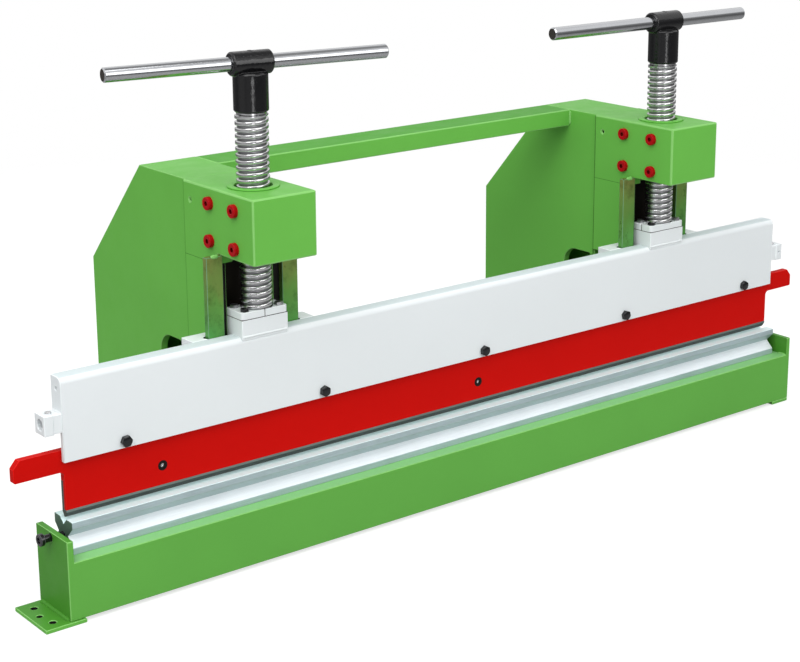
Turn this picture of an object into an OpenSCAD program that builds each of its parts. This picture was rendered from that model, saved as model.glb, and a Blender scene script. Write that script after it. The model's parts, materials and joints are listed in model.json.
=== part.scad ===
// Manual press brake: two hand screws drive a ram beam with a punch into a four-way die.
// X runs along the bed, Y to the rear, Z up from the floor.
// Every outline is drawn about the punch plane and moved once, so the origin is
// the middle of the machine's outer box at floor level.

/* [Base] */
// Working length of the ram beam and the die
work_len = 1250; // [1150:1:1350]
// Gap between the die and the end plates
die_gap = 10; // [6:0.5:14]
// Width of the base beam, front to back
base_w = 78; // [70:1:95]
// Front of the base ahead of the punch plane
base_front = 42; // [36:1:50]
// Height of the die shelf above the floor
shelf_z = 78; // [65:1:90]
// Wall of the base box beam
base_wall = 6; // [4:0.5:8]
// Thickness of the end plates
end_plate_t = 8; // [6:0.5:12]
// Height of the end plates above the shelf
end_plate_rise = 27.5; // [22:0.5:36]
// Thickness of the foot plates
foot_t = 5; // [4:0.5:8]
// How far the left foot reaches out past its end plate
foot_reach = 34; // [30:1:45]
// How far the foot plates lie under the base
foot_under = 20; // [14:1:30]
// Length of the right foot plate, flush with the end plate
foot_right_len = 36; // [24:1:50]
// How far the left foot plate stands out in front of the base
foot_front = 3; // [0:0.5:12]
// Distance between the two anchor holes
anchor_spacing = 48; // [36:1:56]
// Radius of the anchor holes
anchor_r = 4.5; // [3:0.25:5.5]
// Radius of the levelling hole between them
level_hole_r = 3.9; // [2.5:0.1:4.5]
// Offset of the levelling hole away from the base
level_hole_out = 5; // [0:0.5:6]

/* [Die] */
// Width of the die
die_w = 44; // [38:1:50]
// Height of the die
die_h = 41; // [36:1:48]
// Opening of the top V groove
groove_top_w = 16; // [12:1:18]
// Depth of the top V groove
groove_top_d = 7.8; // [6:0.1:9]
// Opening of the front V groove
groove_front_w = 24; // [18:1:26]
// Depth of the front V groove
groove_front_d = 12; // [8:0.5:13]
// Opening of the rear V groove
groove_back_w = 18; // [12:1:22]
// Depth of the rear V groove
groove_back_d = 9; // [6:0.5:11]
// Opening of the bottom V groove
groove_low_w = 10; // [6:1:12]
// Depth of the bottom V groove
groove_low_d = 5; // [3:0.5:6]
// Radius of the clamp screw's shank
clamp_r = 5; // [4:0.5:6]
// Radius of the clamp screw's head
clamp_head_r = 7.75; // [7:0.25:10]
// Height of the clamp screw's head
clamp_head_h = 6.5; // [5:0.5:12]
// Shank that shows between head and end plate
clamp_show = 9; // [8:0.5:16]
// Radius of the clamp screw's plain tip
clamp_tip_r = 3.5; // [2.5:0.25:4]
// Length of that tip
clamp_tip_len = 9; // [6:0.5:12]

/* [Frames] */
// Distance of a screw from the end of the working length
frame_inset = 264.5; // [240:0.5:300]
// Sideways place of the pair of frames against the middle of the bed
frame_shift = 22.5; // [-25:0.5:25]
// Width of a C-frame over its side plates
frame_w = 86; // [80:1:90]
// Thickness of a side plate
side_t = 10; // [6:0.5:12]
// Thickness of the bent cover
cover_t = 6; // [5:0.5:10]
// Room between the caps and the heads at rest
head_gap = 71.3; // [66:0.1:90]
// Rear of the frames behind the punch plane
frame_back = 351.5; // [320:0.5:380]
// Rear end of the flat top behind the punch plane
top_back = 212; // [190:0.5:230]
// Drop of the sloping rear corner
back_drop = 152; // [120:0.5:180]
// Seam between side plates and column behind the punch plane
seam_y = 96.5; // [90:0.5:105]
// Height of the right throat's ceiling
throat_top = 265; // [240:1:272]
// Rear of the right throat behind the punch plane
throat_back = 164; // [140:1:180]
// Corner radius of the throat
throat_r = 25; // [12:1:30]
// How much deeper the left throat is cut
throat_left_deeper = 11; // [0:1:16]
// How much lower the left throat's ceiling is
throat_left_lower = 3; // [0:1:10]
// Width of the tongue that carries the column in front of the throat
tongue_w = 10; // [8:0.5:14]
// Lower end of the column above the floor
column_z = 180; // [165:1:200]
// Height at which the columns step back to their narrow lower part
column_step_z = 274; // [266:1:290]
// Depth of the narrow lower part, front to back
column_low_w = 53.5; // [40:0.5:60]
// Thickness of a column plate
column_t = 12; // [8:0.5:14]
// Thickness of the web between the column plates
web_t = 6; // [4:0.5:10]
// Depth of the web behind the column's front edge
web_back = 26; // [22:1:40]
// Depth of the cross bar, front to back
bar_w = 56; // [40:1:60]
// Height of the cross bar
bar_h = 25; // [20:1:30]
// Wall of the cross bar
bar_wall = 3; // [2:0.5:4]

/* [Heads] */
// Width of a head
head_w = 94; // [90:1:100]
// Front of the heads ahead of the punch plane
head_front = 61.5; // [52:0.5:70]
// Height of a head
head_h = 83; // [76:0.5:90]
// How far the rear of the head reaches down over the column
head_tab = 12.5; // [8:0.5:18]
// Outer radius of the screw nut
nut_r = 28; // [26:0.5:31]
// Outer radius of the ring on top of the nut
ring_r = 33; // [32:0.5:37]
// Height of the ring above the head
ring_h = 2; // [1:0.25:4]
// Radial gap between ring and screw thread
ring_gap = 3; // [2:0.25:4]
// Depth of the open ring
ring_depth = 7; // [4:0.5:10]
// Spacing of the four head bolts, front to back
head_bolt_dy = 56; // [50:1:62]
// Spacing of the four head bolts, up and down
head_bolt_dz = 48; // [40:1:56]
// Radius of a head bolt's shank
head_bolt_r = 5; // [4:0.5:6]
// Radius of a head bolt's head
head_bolt_head_r = 8.5; // [7:0.5:10]
// Height of a head bolt's head
head_bolt_head_h = 6; // [4:0.5:10]
// Length of a head bolt's shank in the head
head_bolt_len = 30; // [22:1:31]
// Height of the upper bolt row below the top of the head
head_bolt_drop = 20; // [14:0.5:24]
// Radius of the small tapped hole in the side of a head
port_r = 2; // [1.5:0.25:3]
// Depth of the small tapped hole
port_depth = 12; // [6:1:20]
// Distance of the small tapped hole from the rear of the head
port_back = 15.5; // [10:0.5:22]
// Distance of the small tapped hole from the top of the head
port_drop = 23.5; // [15:0.5:40]

/* [Guides] */
// Width of a guide strip
strip_w = 23.5; // [20:0.5:30]
// Thickness of a guide strip
strip_t = 8.5; // [6:0.5:9]
// Overlap of a strip with the column plate behind it
strip_hold = 2.5; // [2:0.5:10]
// Gap between the ram beam and the strips
strip_gap = 0.5; // [0.3:0.1:2]
// Width of the slot between a guide hook and the ram beam
slot_w = 12.5; // [11:0.5:16]
// Radius of the slot's closed end
slot_r = 7; // [6.5:0.25:9]
// Room between a strip and the closed end of its slot
slot_room = 4; // [2:0.5:8]
// Wall of a guide hook outside its slot
hook_wall = 20; // [8:1:26]
// Thickness of the hook's lip behind the strip
hook_lip = 14; // [8:0.5:16]
// Height of a guide hook
hook_h = 60; // [45:1:66]

/* [Ram beam] */
// Height of the ram beam's front
beam_h = 104.5; // [95:0.5:115]
// Thickness of the ram beam
beam_t = 24; // [22:0.5:30]
// Height of the front lip in front of the punch plate
lip_h = 37; // [30:0.5:45]
// Thickness of the front lip
lip_t = 6.5; // [5:0.25:8]
// Radius along the upper front edge
beam_round = 8; // [2:0.5:10]
// Radius along the upper rear edge
beam_round_back = 2; // [1:0.25:3]
// Length of an end lug
lug_len = 23; // [18:1:30]
// Height of an end lug
lug_h = 25; // [22:1:32]
// Length of a lug's neck next to the beam
lug_neck_len = 11; // [6:0.5:14]
// Step from the lug down to its neck
lug_neck_step = 0.8; // [0:0.1:2]
// Radius of the rod bore in an end lug
lug_bore_r = 7; // [5:0.25:8]
// Radius of a lug's set screw
lug_screw_r = 4; // [2.5:0.25:4.5]
// Radius of the pin hole in the front of the right lug
lug_pin_r = 1.5; // [1:0.1:2]
// Depth of the pin hole
lug_pin_depth = 4; // [2:0.5:4.5]
// Radius of the tapped hole in each end of the ram beam
end_hole_r = 2.5; // [2:0.25:4]
// Depth of that hole
end_hole_depth = 15; // [8:1:30]

/* [Punch] */
// How far the punch stops short of the ram beam's ends
punch_inset = 2.5; // [0:0.5:6]
// How far the plate's upper part stops short of the punch's ends
punch_top_inset = 20; // [0:1:30]
// Thickness of the punch plate
punch_t = 10; // [8:0.5:12]
// Gap between punch tip and die top at rest
tip_gap = 0.5; // [0.5:0.1:3]
// Height of the painted plate that shows under the ram beam
plate_show = 62.5; // [55:0.5:72]
// Height of the bare steel blade under the painted plate
blade_h = 9.2; // [7:0.1:14]
// Height of the blade's tapered edge
edge_h = 6.5; // [4:0.1:8]
// Width of the flat on the blade's edge
edge_flat = 1.6; // [0.8:0.1:2.4]
// Height of the blade's tongue behind the plate
tongue_h = 36; // [28:1:44]
// Thickness of the blade's tongue
tongue_t = 5; // [3:0.5:6]
// Reach of the left ear
ear_left = 65; // [50:1:80]
// Reach of the right ear
ear_right = 58.5; // [45:0.5:80]
// Height of an ear
ear_h = 27.5; // [20:0.5:36]
// Lower edge of an ear above the lower edge of the plate
ear_rise = 49; // [36:1:60]
// Radius in the inner corner under an ear
ear_fillet = 6; // [3:0.5:10]
// Radius of the bolts that hold the punch plate
punch_bolt_r = 4; // [3:0.5:5]
// Width of their hexagon heads across the flats
punch_bolt_af = 13; // [10:0.5:16]
// Height of their heads
punch_bolt_head_h = 5.5; // [4:0.5:7]
// Height of these bolts above the lip's lower edge
punch_bolt_rise = 9; // [8:0.5:14]
// Radius of the recessed blade screws
blade_screw_r = 3.2; // [2.5:0.1:4]
// Height of the blade screws above the plate's lower edge
blade_screw_rise = 25; // [15:1:30]

/* [Screws] */
// Outer diameter of the screw thread
screw_d = 42; // [38:0.5:44]
// Screw plane behind the punch plane
screw_y = 7; // [3:0.5:9]
// Radius of the neck inside the cap
neck_r = 13; // [11:0.5:15]
// Radius of the thrust collar
collar_r = 18; // [16.5:0.5:19]
// Height of the thrust collar
collar_h = 11.5; // [8:0.5:13]
// Radius of the turned relief under the hub
relief_r = 19; // [17:0.5:20]
// Height of the relief
relief_h = 8; // [0:1:14]
// Radius of the spigot inside the hub
spigot_r = 15; // [12:0.5:17]
// Height of the spigot
spigot_h = 38; // [25:1:42]
// Width of a screw block
block_w = 68.5; // [62:0.5:69]
// Depth of a screw block, front to back
block_d = 38; // [37:0.5:44]
// Height of a screw block
block_h = 26; // [22:0.5:30]
// Depth of the block's seat in the ram beam
seat_d = 4; // [2:0.25:5]
// Thickness of the split cap
cap_t = 9.5; // [6:0.5:12]
// Corner radius of the cap
cap_corner_r = 4; // [0.5:0.5:5]
// Gap between the two halves of a cap
cap_split = 0.6; // [0.4:0.1:1.2]
// Radius of the cap bolts
cap_bolt_r = 3; // [2:0.25:3.5]
// Width of the cap bolts' heads across the flats
cap_bolt_af = 10; // [7:0.5:11]
// Distance of the cap bolts from the sides of the block
cap_bolt_in_x = 8.5; // [7:0.25:9]
// Distance of the cap bolts from the front and rear of the block
cap_bolt_in_y = 7; // [6.5:0.25:7.5]
// Height of the cap bolts' heads
cap_bolt_head_h = 4; // [3:0.5:5]

/* [Hubs and bars] */
// Height of the hubs' lower edge above the floor
hub_z = 571; // [550:1:600]
// How much higher the left hub stands than hub_z
hub_rise_left = 4; // [-6:0.5:6]
// How much higher the right hub stands than hub_z
hub_rise_right = -5; // [-6:0.5:6]
// Radius of the hub's upright sleeve
sleeve_r = 22; // [20:0.5:24]
// Height of the sleeve
sleeve_h = 49; // [46:1:56]
// Radius of the hub's cross barrel
barrel_r = 15; // [13:0.5:18]
// Length of the cross barrel
barrel_len = 55; // [44:1:60]
// How deep the barrel sinks into the sleeve
hub_sink = 4; // [2:0.5:8]
// Chamfer on hub edges
hub_chamfer = 2; // [0.5:0.25:3]
// Radius of the T-bars
tbar_r = 9; // [7:0.5:11]
// Length of the T-bars
tbar_len = 380; // [320:1:420]
// Chamfer on the ends of the T-bars
tbar_chamfer = 1.5; // [0.5:0.25:3]
// Angle of the left T-bar to the bed
left_tbar_angle = -8.2; // [-45:0.1:45]
// Angle of the right T-bar to the bed
right_tbar_angle = -1.2; // [-45:0.1:45]
// How far the right T-bar is slid through its hub
tbar_slide_right = -27; // [-40:1:40]
// Radius of the grub screws in the hubs
grub_r = 4; // [3:0.25:5]

/* [Fits] */
// Radial running clearance of shafts in bores
run_fit = 0.05; // [0.02:0.01:0.09]
// Radial clearance of bolts and seated parts
bolt_fit = 0.1; // [0.05:0.05:0.3]
// Clearance of sliding flat faces
slide_fit = 0.3; // [0.2:0.05:0.5]

/* [Hidden] */

// Overrun of every cut past the face that it opens
over = 1;
// Segments of the large round parts
fine = 64;
// Segments of bolts and their holes
bolt_fine = 32;

// Colours
green = "#58a846";
ram_white = "#e2e8e8";
punch_red = "#be110a";
bolt_red = "#c8101e";
black = "#1b1c20";
steel = "#b9bcc0";
die_steel = "#aab4bc";
dark_web = "#3a3632";

// Places along the bed
work_half = work_len / 2;
inner_half = work_half + die_gap;
base_half = inner_half + end_plate_t;
punch_len = work_len - 2 * punch_inset;
left_x = frame_shift - work_half + frame_inset;
right_x = frame_shift + work_half - frame_inset;
base_back = base_w - base_front;
end_plate_h = shelf_z + end_plate_rise - foot_t;

// Places up the die and the punch
die_z = shelf_z;
die_top = die_z + die_h;
die_mid_z = die_z + die_h / 2;
tip_z = die_top + tip_gap;
punch_z = tip_z + blade_h;
beam_front = lip_t + punch_t / 2;
beam_back = beam_t - beam_front;
lip_z = punch_z + plate_show;
beam_top = lip_z + beam_h;
step_z = lip_z + lip_h;

// Screw block and cap, and the heads above them
block_z = beam_top - seat_d;
cap_z = block_z + block_h;
cap_top = cap_z + cap_t;
head_z = cap_top + head_gap;
frame_h = head_z + head_h;
back_edge_h = frame_h - back_drop;
head_bolt_z = frame_h - head_bolt_drop - head_bolt_dz / 2;

// Heads, columns and guides, measured from the screw plane
head_half = head_w / 2;
column_top = head_z - head_tab;
strip_y = beam_back + strip_gap;
column_y = strip_y + strip_t;
strip_in = head_half - strip_hold;
strip_out = strip_in + strip_w;
screw_r = screw_d / 2;

// Spindle
collar_z = cap_z - slide_fit - collar_h;
thread_z = cap_top + slide_fit;

// Outer box of the machine, used for the origin
ear_x_left = -punch_len / 2 - ear_left;
ear_x_right = punch_len / 2 + ear_right;
foot_x_left = -base_half - foot_reach;
mid_x = (min(ear_x_left, foot_x_left) + max(ear_x_right, base_half)) / 2;
mid_y = (frame_back - head_front) / 2;

// Shares of the beam's half length at which the punch bolts sit
bolt_place_shares = [-0.868, -0.398, 0.04, 0.48, 0.896];
// Shares of the punch plate's half length at which the blade screws sit
blade_place_shares = [-0.786, 0.032];
// Shares of an ear's height for its upper cut and its lower nick
ear_cut_x_share = 0.3;
ear_cut_z_share = 0.36;
ear_nick_share = 0.06;

// Moves a module from the punch plane's axes to the machine's origin
module placed() {
    translate([-mid_x, -mid_y, 0]) children();
}

// Moves a module to a screw's axis
module at_screw(x) {
    placed() translate([x, screw_y, 0]) children();
}

// Moves a module to the middle plane of a frame
module at_frame(x) {
    placed() translate([x, 0, 0]) children();
}

// Extrudes a rear-and-up outline along X, from x0 over a length
module along_x(x0, len) {
    translate([x0, 0, 0]) rotate([90, 0, 90]) linear_extrude(height = len) children();
}

// Round bar along X
module rod_x(x0, len, r) {
    translate([x0, 0, 0]) rotate([0, 90, 0]) cylinder(h = len, r = r, $fn = fine);
}

// Round bar along X with chamfered ends
module chamfered_rod_x(x0, len, r, c) {
    translate([x0, 0, 0]) rotate([0, 90, 0]) chamfered_rod(len, r, c);
}

// Upright round bar with chamfered ends
module chamfered_rod(len, r, c) {
    rotate_extrude($fn = fine)
        polygon([[0, 0], [r - c, 0], [r, c], [r, len - c], [r - c, len], [0, len]]);
}

// Hexagon head, measured across the flats
module hex_head(af, h) {
    cylinder(h = h, d = af / cos(180 / 6), $fn = 6);
}

// Corner waste between a square corner and its round
module corner_waste(r) {
    difference() {
        square([r + over, r + over]);
        circle(r = r, $fn = fine);
    }
}

// Block from a low corner
module block(x0, y0, z0, size) {
    translate([x0, y0, z0]) cube(size);
}

// Base

module base_beam() {
    color(green) placed() along_x(-inner_half, 2 * inner_half) difference() {
        translate([-base_front, foot_t]) square([base_w, shelf_z - foot_t]);
        translate([base_wall - base_front, foot_t + base_wall])
            square([base_w - 2 * base_wall, shelf_z - foot_t - 2 * base_wall]);
    }
}

module end_plate_left() {
    color(green) placed() difference() {
        block(-base_half, -base_front, foot_t, [end_plate_t, base_w, end_plate_h]);
        translate([0, 0, die_mid_z])
            rod_x(-base_half - over, end_plate_t + 2 * over, clamp_r + run_fit);
    }
}

module end_plate_right() {
    color(green) placed() block(inner_half, -base_front, foot_t, [end_plate_t, base_w, end_plate_h]);
}

module foot_left() {
    foot_y = -base_front - foot_front;
    foot_w = base_w + foot_front;
    hole_x = -base_half - foot_reach / 2;
    hole_y = foot_y + foot_w / 2;
    color(green) placed() difference() {
        block(foot_x_left, foot_y, 0, [foot_reach + foot_under, foot_w, foot_t]);
        for (s = [-1, 1])
            translate([hole_x, hole_y + s * anchor_spacing / 2, -over])
                cylinder(h = foot_t + 2 * over, r = anchor_r, $fn = fine);
        translate([hole_x - level_hole_out, hole_y, -over])
            cylinder(h = foot_t + 2 * over, r = level_hole_r, $fn = fine);
    }
}

module foot_right() {
    color(green) placed()
        block(base_half - foot_right_len, -base_front, 0, [foot_right_len, base_w, foot_t]);
}

// Die

// Triangle of a V groove, mouth on the local X axis, opening downwards from it
module v_notch(w, d) {
    half = w / 2 * (1 + over / d);
    polygon([[-half, over], [half, over], [0, -d]]);
}

module die() {
    color(die_steel) placed() along_x(-work_half, work_len) difference() {
        translate([-die_w / 2, die_z]) square([die_w, die_h]);
        translate([0, die_top]) v_notch(groove_top_w, groove_top_d);
        translate([0, die_z]) rotate(180) v_notch(groove_low_w, groove_low_d);
        translate([die_w / 2, die_mid_z]) rotate(-90) v_notch(groove_back_w, groove_back_d);
        translate([-die_w / 2, die_mid_z]) rotate(90) v_notch(groove_front_w, groove_front_d);
    }
}

module die_stop() {
    color(steel) placed() translate([0, 0, die_mid_z]) rod_x(work_half, die_gap, clamp_head_r);
}

module die_clamp_screw() {
    tip_x = -work_half - slide_fit;
    head_x = -base_half - clamp_show;
    socket_r = clamp_head_r / 2;
    color(black) placed() translate([0, 0, die_mid_z]) difference() {
        union() {
            rod_x(head_x, tip_x - clamp_tip_len - head_x, clamp_r);
            rod_x(head_x, tip_x - head_x, clamp_tip_r);
            chamfered_rod_x(head_x - clamp_head_h, clamp_head_h, clamp_head_r, clamp_head_r / 8);
        }
        translate([head_x - clamp_head_h - over, 0, 0]) rotate([0, 90, 0])
            hex_head(2 * socket_r, clamp_head_h / 2 + over);
    }
}

// Frames

// Slope of the chamfered rear corner
chamfer_angle = atan2(frame_h - back_edge_h, frame_back - top_back);

// Outline of a side plate with its open throat
module side_outline(back, top) {
    difference() {
        polygon([[seam_y, frame_h], [top_back, frame_h], [frame_back, back_edge_h],
            [frame_back, 0], [base_back, 0], [base_back, shelf_z], [seam_y, shelf_z]]);
        difference() {
            throat_outline(back, top);
            translate([seam_y - 2 * over, column_z])
                square([tongue_w + 2 * over, top - column_z + over]);
        }
    }
}

// Throat with two round corners at the rear
module throat_outline(back, top) {
    front = seam_y - over;
    round_y = back - throat_r;
    translate([front, shelf_z]) square([round_y - front, top - shelf_z]);
    translate([front, shelf_z + throat_r])
        square([back - front, top - shelf_z - 2 * throat_r]);
    for (z = [shelf_z + throat_r, top - throat_r])
        translate([round_y, z]) circle(r = throat_r, $fn = fine);
}

module side_plate(x) {
    color(green) placed() along_x(x, side_t) side_outline(throat_back, throat_top);
}

module left_side_plate(x) {
    color(green) placed() along_x(x, side_t)
        side_outline(throat_back + throat_left_deeper, throat_top - throat_left_lower);
}

// Cover bent over the top, down the chamfer and the back
module frame_cover(x) {
    in_top = cover_t * tan(chamfer_angle / 2);
    in_back = cover_t * tan((90 - chamfer_angle) / 2);
    half = frame_w / 2 - side_t;
    color(green) placed() along_x(x - half, 2 * half) polygon([
        [seam_y, frame_h], [top_back, frame_h], [frame_back, back_edge_h], [frame_back, 0],
        [frame_back - cover_t, 0], [frame_back - cover_t, back_edge_h - in_back],
        [top_back - in_top, frame_h - cover_t], [seam_y, frame_h - cover_t]]);
}

module left_frame_plate_outer() left_side_plate(left_x - frame_w / 2);
module left_frame_plate_inner() left_side_plate(left_x + frame_w / 2 - side_t);
module right_frame_plate_inner() side_plate(right_x - frame_w / 2);
module right_frame_plate_outer() side_plate(right_x + frame_w / 2 - side_t);
module left_frame_cover() frame_cover(left_x);
module right_frame_cover() frame_cover(right_x);

// Column plate, stepped back below so that the throat stays open behind it
module column_plate(x) {
    low_y = column_y + column_low_w;
    color(green) placed() along_x(x, column_t) polygon([
        [column_y, column_z], [low_y, column_z], [low_y, column_step_z], [seam_y, column_step_z],
        [seam_y, column_top], [column_y, column_top]]);
}

module left_column_outer() column_plate(left_x - head_half);
module left_column_inner() column_plate(left_x + head_half - column_t);
module right_column_inner() column_plate(right_x - head_half);
module right_column_outer() column_plate(right_x + head_half - column_t);

module column_web(x) {
    half = head_half - column_t;
    color(dark_web) placed() translate([x - half, column_y + web_back, column_z])
        cube([2 * half, web_t, column_top - column_z]);
}

module left_column_web() column_web(left_x);
module right_column_web() column_web(right_x);

module cross_bar() {
    x0 = left_x + frame_w / 2;
    color(green) placed() along_x(x0, right_x - frame_w / 2 - x0)
        translate([top_back - bar_w, frame_h - bar_h]) difference() {
            square([bar_w, bar_h]);
            translate([bar_wall, bar_wall]) square([bar_w - 2 * bar_wall, bar_h - 2 * bar_wall]);
        }
}

// Heads

module head_bolt_places() {
    for (sy = [-1, 1])
        for (sz = [-1, 1])
            translate([-head_half, screw_y + sy * head_bolt_dy / 2, head_bolt_z + sz * head_bolt_dz / 2])
                children();
}

module head(x) {
    color(green) at_frame(x) difference() {
        along_x(-head_half, head_w) polygon([[-head_front, frame_h], [seam_y, frame_h],
            [seam_y, column_top], [column_y, column_top], [column_y, head_z], [-head_front, head_z]]);
        translate([0, screw_y, column_top - over])
            cylinder(h = frame_h - column_top + 2 * over, r = nut_r + bolt_fit, $fn = fine);
        head_bolt_places() rod_x(-over, head_bolt_len + over + bolt_fit, head_bolt_r + bolt_fit);
        translate([-head_half, seam_y - port_back, frame_h - port_drop])
            rod_x(-over, port_depth + over, port_r);
    }
}

module left_head() head(left_x);
module right_head() head(right_x);

// Nut with the open ring that stands on the head
module nut(x) {
    in_r = screw_r + run_fit;
    open_r = screw_r + ring_gap;
    top = frame_h + ring_h;
    color(green) at_screw(x) rotate_extrude($fn = fine) polygon([
        [in_r, head_z], [nut_r, head_z], [nut_r, frame_h], [ring_r, frame_h],
        [ring_r, top], [open_r, top], [open_r, top - ring_depth], [in_r, top - ring_depth]]);
}

module left_nut() nut(left_x);
module right_nut() nut(right_x);

module head_bolts(x) {
    socket_af = head_bolt_head_r;
    color(bolt_red) at_frame(x) head_bolt_places() difference() {
        union() {
            rod_x(-over / 2, head_bolt_len, head_bolt_r);
            chamfered_rod_x(-head_bolt_head_h, head_bolt_head_h, head_bolt_head_r, head_bolt_head_r / 10);
        }
        translate([-head_bolt_head_h - over, 0, 0]) rotate([0, 90, 0])
            hex_head(socket_af, head_bolt_head_h / 2 + over);
    }
}

module left_head_bolts() head_bolts(left_x);
module right_head_bolts() head_bolts(right_x);

// Guides

module guide_strips(x) {
    for (s = [-1, 1])
        color(steel) at_frame(x) translate([s * (strip_in + strip_w / 2) - strip_w / 2, strip_y, column_z])
            cube([strip_w, strip_t, head_z - column_z]);
}

module left_guide_strips() guide_strips(left_x);
module right_guide_strips() guide_strips(right_x);

// Outline of a hook seen from above: wall on the beam, lip behind the strip
module hook_outline() {
    lip_x = head_half + slide_fit;
    slot_x = strip_out + slot_room;
    round_x = slot_x - slot_r;
    back_y = beam_back + slot_w;
    difference() {
        translate([lip_x, beam_back])
            square([slot_x + hook_wall - lip_x, slot_w + hook_lip]);
        translate([lip_x - over, beam_back - over])
            square([round_x - lip_x + over, slot_w + over]);
        translate([round_x, back_y - slot_r]) circle(r = slot_r, $fn = fine);
    }
}

module guide_hooks(x) {
    for (s = [0, 1])
        color(ram_white) at_frame(x) mirror([s, 0, 0]) translate([0, 0, beam_top - hook_h])
            linear_extrude(height = hook_h) hook_outline();
}

module left_guide_hooks() guide_hooks(left_x);
module right_guide_hooks() guide_hooks(right_x);

// Ram beam

module punch_bolt_places() {
    for (k = bolt_place_shares)
        translate([k * work_half, -beam_front, lip_z + punch_bolt_rise]) rotate([-90, 0, 0])
            children();
}

module beam_outline() {
    difference() {
        translate([-beam_front, lip_z]) square([beam_t, beam_h]);
        translate([lip_t - beam_front, lip_z - over]) square([beam_t, lip_h + over]);
        translate([beam_round - beam_front, beam_top - beam_round]) rotate(90)
            corner_waste(beam_round);
        translate([beam_back - beam_round_back, beam_top - beam_round_back])
            corner_waste(beam_round_back);
    }
}

module ram_beam() {
    color(ram_white) placed() difference() {
        along_x(-work_half, work_len) beam_outline();
        for (x = [left_x, right_x])
            translate([x - block_w / 2, -beam_front - over, block_z])
                cube([block_w, beam_t + 2 * over, seat_d + over]);
        punch_bolt_places() translate([0, 0, -over])
            cylinder(h = lip_t + 2 * over, r = punch_bolt_r + bolt_fit, $fn = bolt_fine);
        for (s = [0, 1])
            mirror([s, 0, 0]) translate([-work_half, 0, beam_top - end_hole_depth])
                rod_x(-over, end_hole_depth + over, end_hole_r);
    }
}

lug_mid_x = -work_half - lug_len / 2;
lug_mid_y = (beam_back - beam_front) / 2;
lug_mid_z = step_z + lug_h / 2;

// End lug with a neck at the beam, a rod bore along X and a tapped hole from above
module lug(s) {
    neck_y = lug_neck_step - beam_front;
    neck_z = step_z + lug_neck_step;
    color(ram_white) placed() mirror([s, 0, 0]) difference() {
        union() {
            block(-work_half - lug_len, -beam_front, step_z, [lug_len - lug_neck_len, beam_t, lug_h]);
            block(-work_half - lug_neck_len - over, neck_y, neck_z,
                [lug_neck_len + over, beam_t - 2 * lug_neck_step, lug_h - 2 * lug_neck_step]);
        }
        translate([-work_half - lug_len - over, lug_mid_y, lug_mid_z])
            rod_x(0, lug_len + 2 * over, lug_bore_r);
        translate([lug_mid_x, lug_mid_y, lug_mid_z])
            cylinder(h = lug_h, r = lug_screw_r + bolt_fit, $fn = bolt_fine);
    }
}

module left_lug() lug(0);

// The right lug also has a small pin hole in its front
module right_lug() {
    pin_x = work_half + lug_len - (lug_len - lug_neck_len) / 2;
    difference() {
        lug(1);
        placed() translate([pin_x, lug_pin_depth - beam_front, lug_mid_z]) rotate([90, 0, 0])
            cylinder(h = lug_pin_depth + over, r = lug_pin_r, $fn = bolt_fine);
    }
}

module lug_screws() {
    wall = lug_h / 2 - lug_bore_r;
    low_z = lug_mid_z + lug_bore_r + bolt_fit * 3;
    color(steel) for (s = [0, 1])
        placed() mirror([s, 0, 0]) translate([lug_mid_x, lug_mid_y, low_z])
            chamfered_rod(wall + lug_screw_r / 4, lug_screw_r, lug_screw_r / 8);
}

// Punch

// Outline of the punch plate seen from the front
module punch_outline() {
    half = punch_len / 2;
    top_half = half - punch_top_inset;
    low = punch_z;
    ear_low = low + ear_rise;
    ear_top = ear_low + ear_h;
    cut_x = ear_cut_x_share * ear_h;
    cut_z = ear_cut_z_share * ear_h;
    nick = ear_nick_share * ear_h;
    difference() {
        polygon([[-half, low], [half, low],
            [half, ear_low - ear_fillet], [half + ear_fillet, ear_low],
            [half + ear_right - nick, ear_low], [half + ear_right, ear_low + nick],
            [half + ear_right, ear_top - cut_z], [half + ear_right - cut_x, ear_top],
            [top_half, ear_top], [top_half, step_z], [-top_half, step_z], [-top_half, ear_top],
            [-half - ear_left + cut_x, ear_top], [-half - ear_left, ear_top - cut_z],
            [-half - ear_left, ear_low + nick], [-half - ear_left + nick, ear_low],
            [-half - ear_fillet, ear_low], [-half, ear_low - ear_fillet]]);
        for (s = [-1, 1])
            translate([s * (half + ear_fillet), ear_low - ear_fillet])
                circle(r = ear_fillet, $fn = fine);
    }
}

module blade_screw_places() {
    for (k = blade_place_shares)
        translate([k * punch_len / 2, -punch_t / 2, punch_z + blade_screw_rise]) rotate([-90, 0, 0])
            children();
}

module punch_plate() {
    color(punch_red) placed() difference() {
        translate([0, punch_t / 2, 0]) rotate([90, 0, 0]) linear_extrude(height = punch_t)
            punch_outline();
        translate([-punch_len / 2 - over, punch_t / 2 - tongue_t, punch_z - over])
            cube([punch_len + 2 * over, tongue_t + over, tongue_h + over]);
        punch_bolt_places() translate([0, 0, lip_t - over])
            cylinder(h = punch_t + 2 * over, r = punch_bolt_r + bolt_fit, $fn = bolt_fine);
        blade_screw_places() translate([0, 0, -over])
            cylinder(h = punch_t + over, r = blade_screw_r + bolt_fit, $fn = bolt_fine);
    }
}

module punch_blade() {
    half = punch_t / 2;
    color(steel) placed() difference() {
        along_x(-punch_len / 2, punch_len) polygon([[-half, punch_z], [-half, tip_z + edge_h],
            [-edge_flat / 2, tip_z], [edge_flat / 2, tip_z], [half, tip_z + edge_h],
            [half, punch_z + tongue_h], [half - tongue_t, punch_z + tongue_h], [half - tongue_t, punch_z]]);
        blade_screw_places() translate([0, 0, -over])
            cylinder(h = punch_t + 2 * over, r = blade_screw_r + bolt_fit, $fn = bolt_fine);
    }
}

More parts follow.
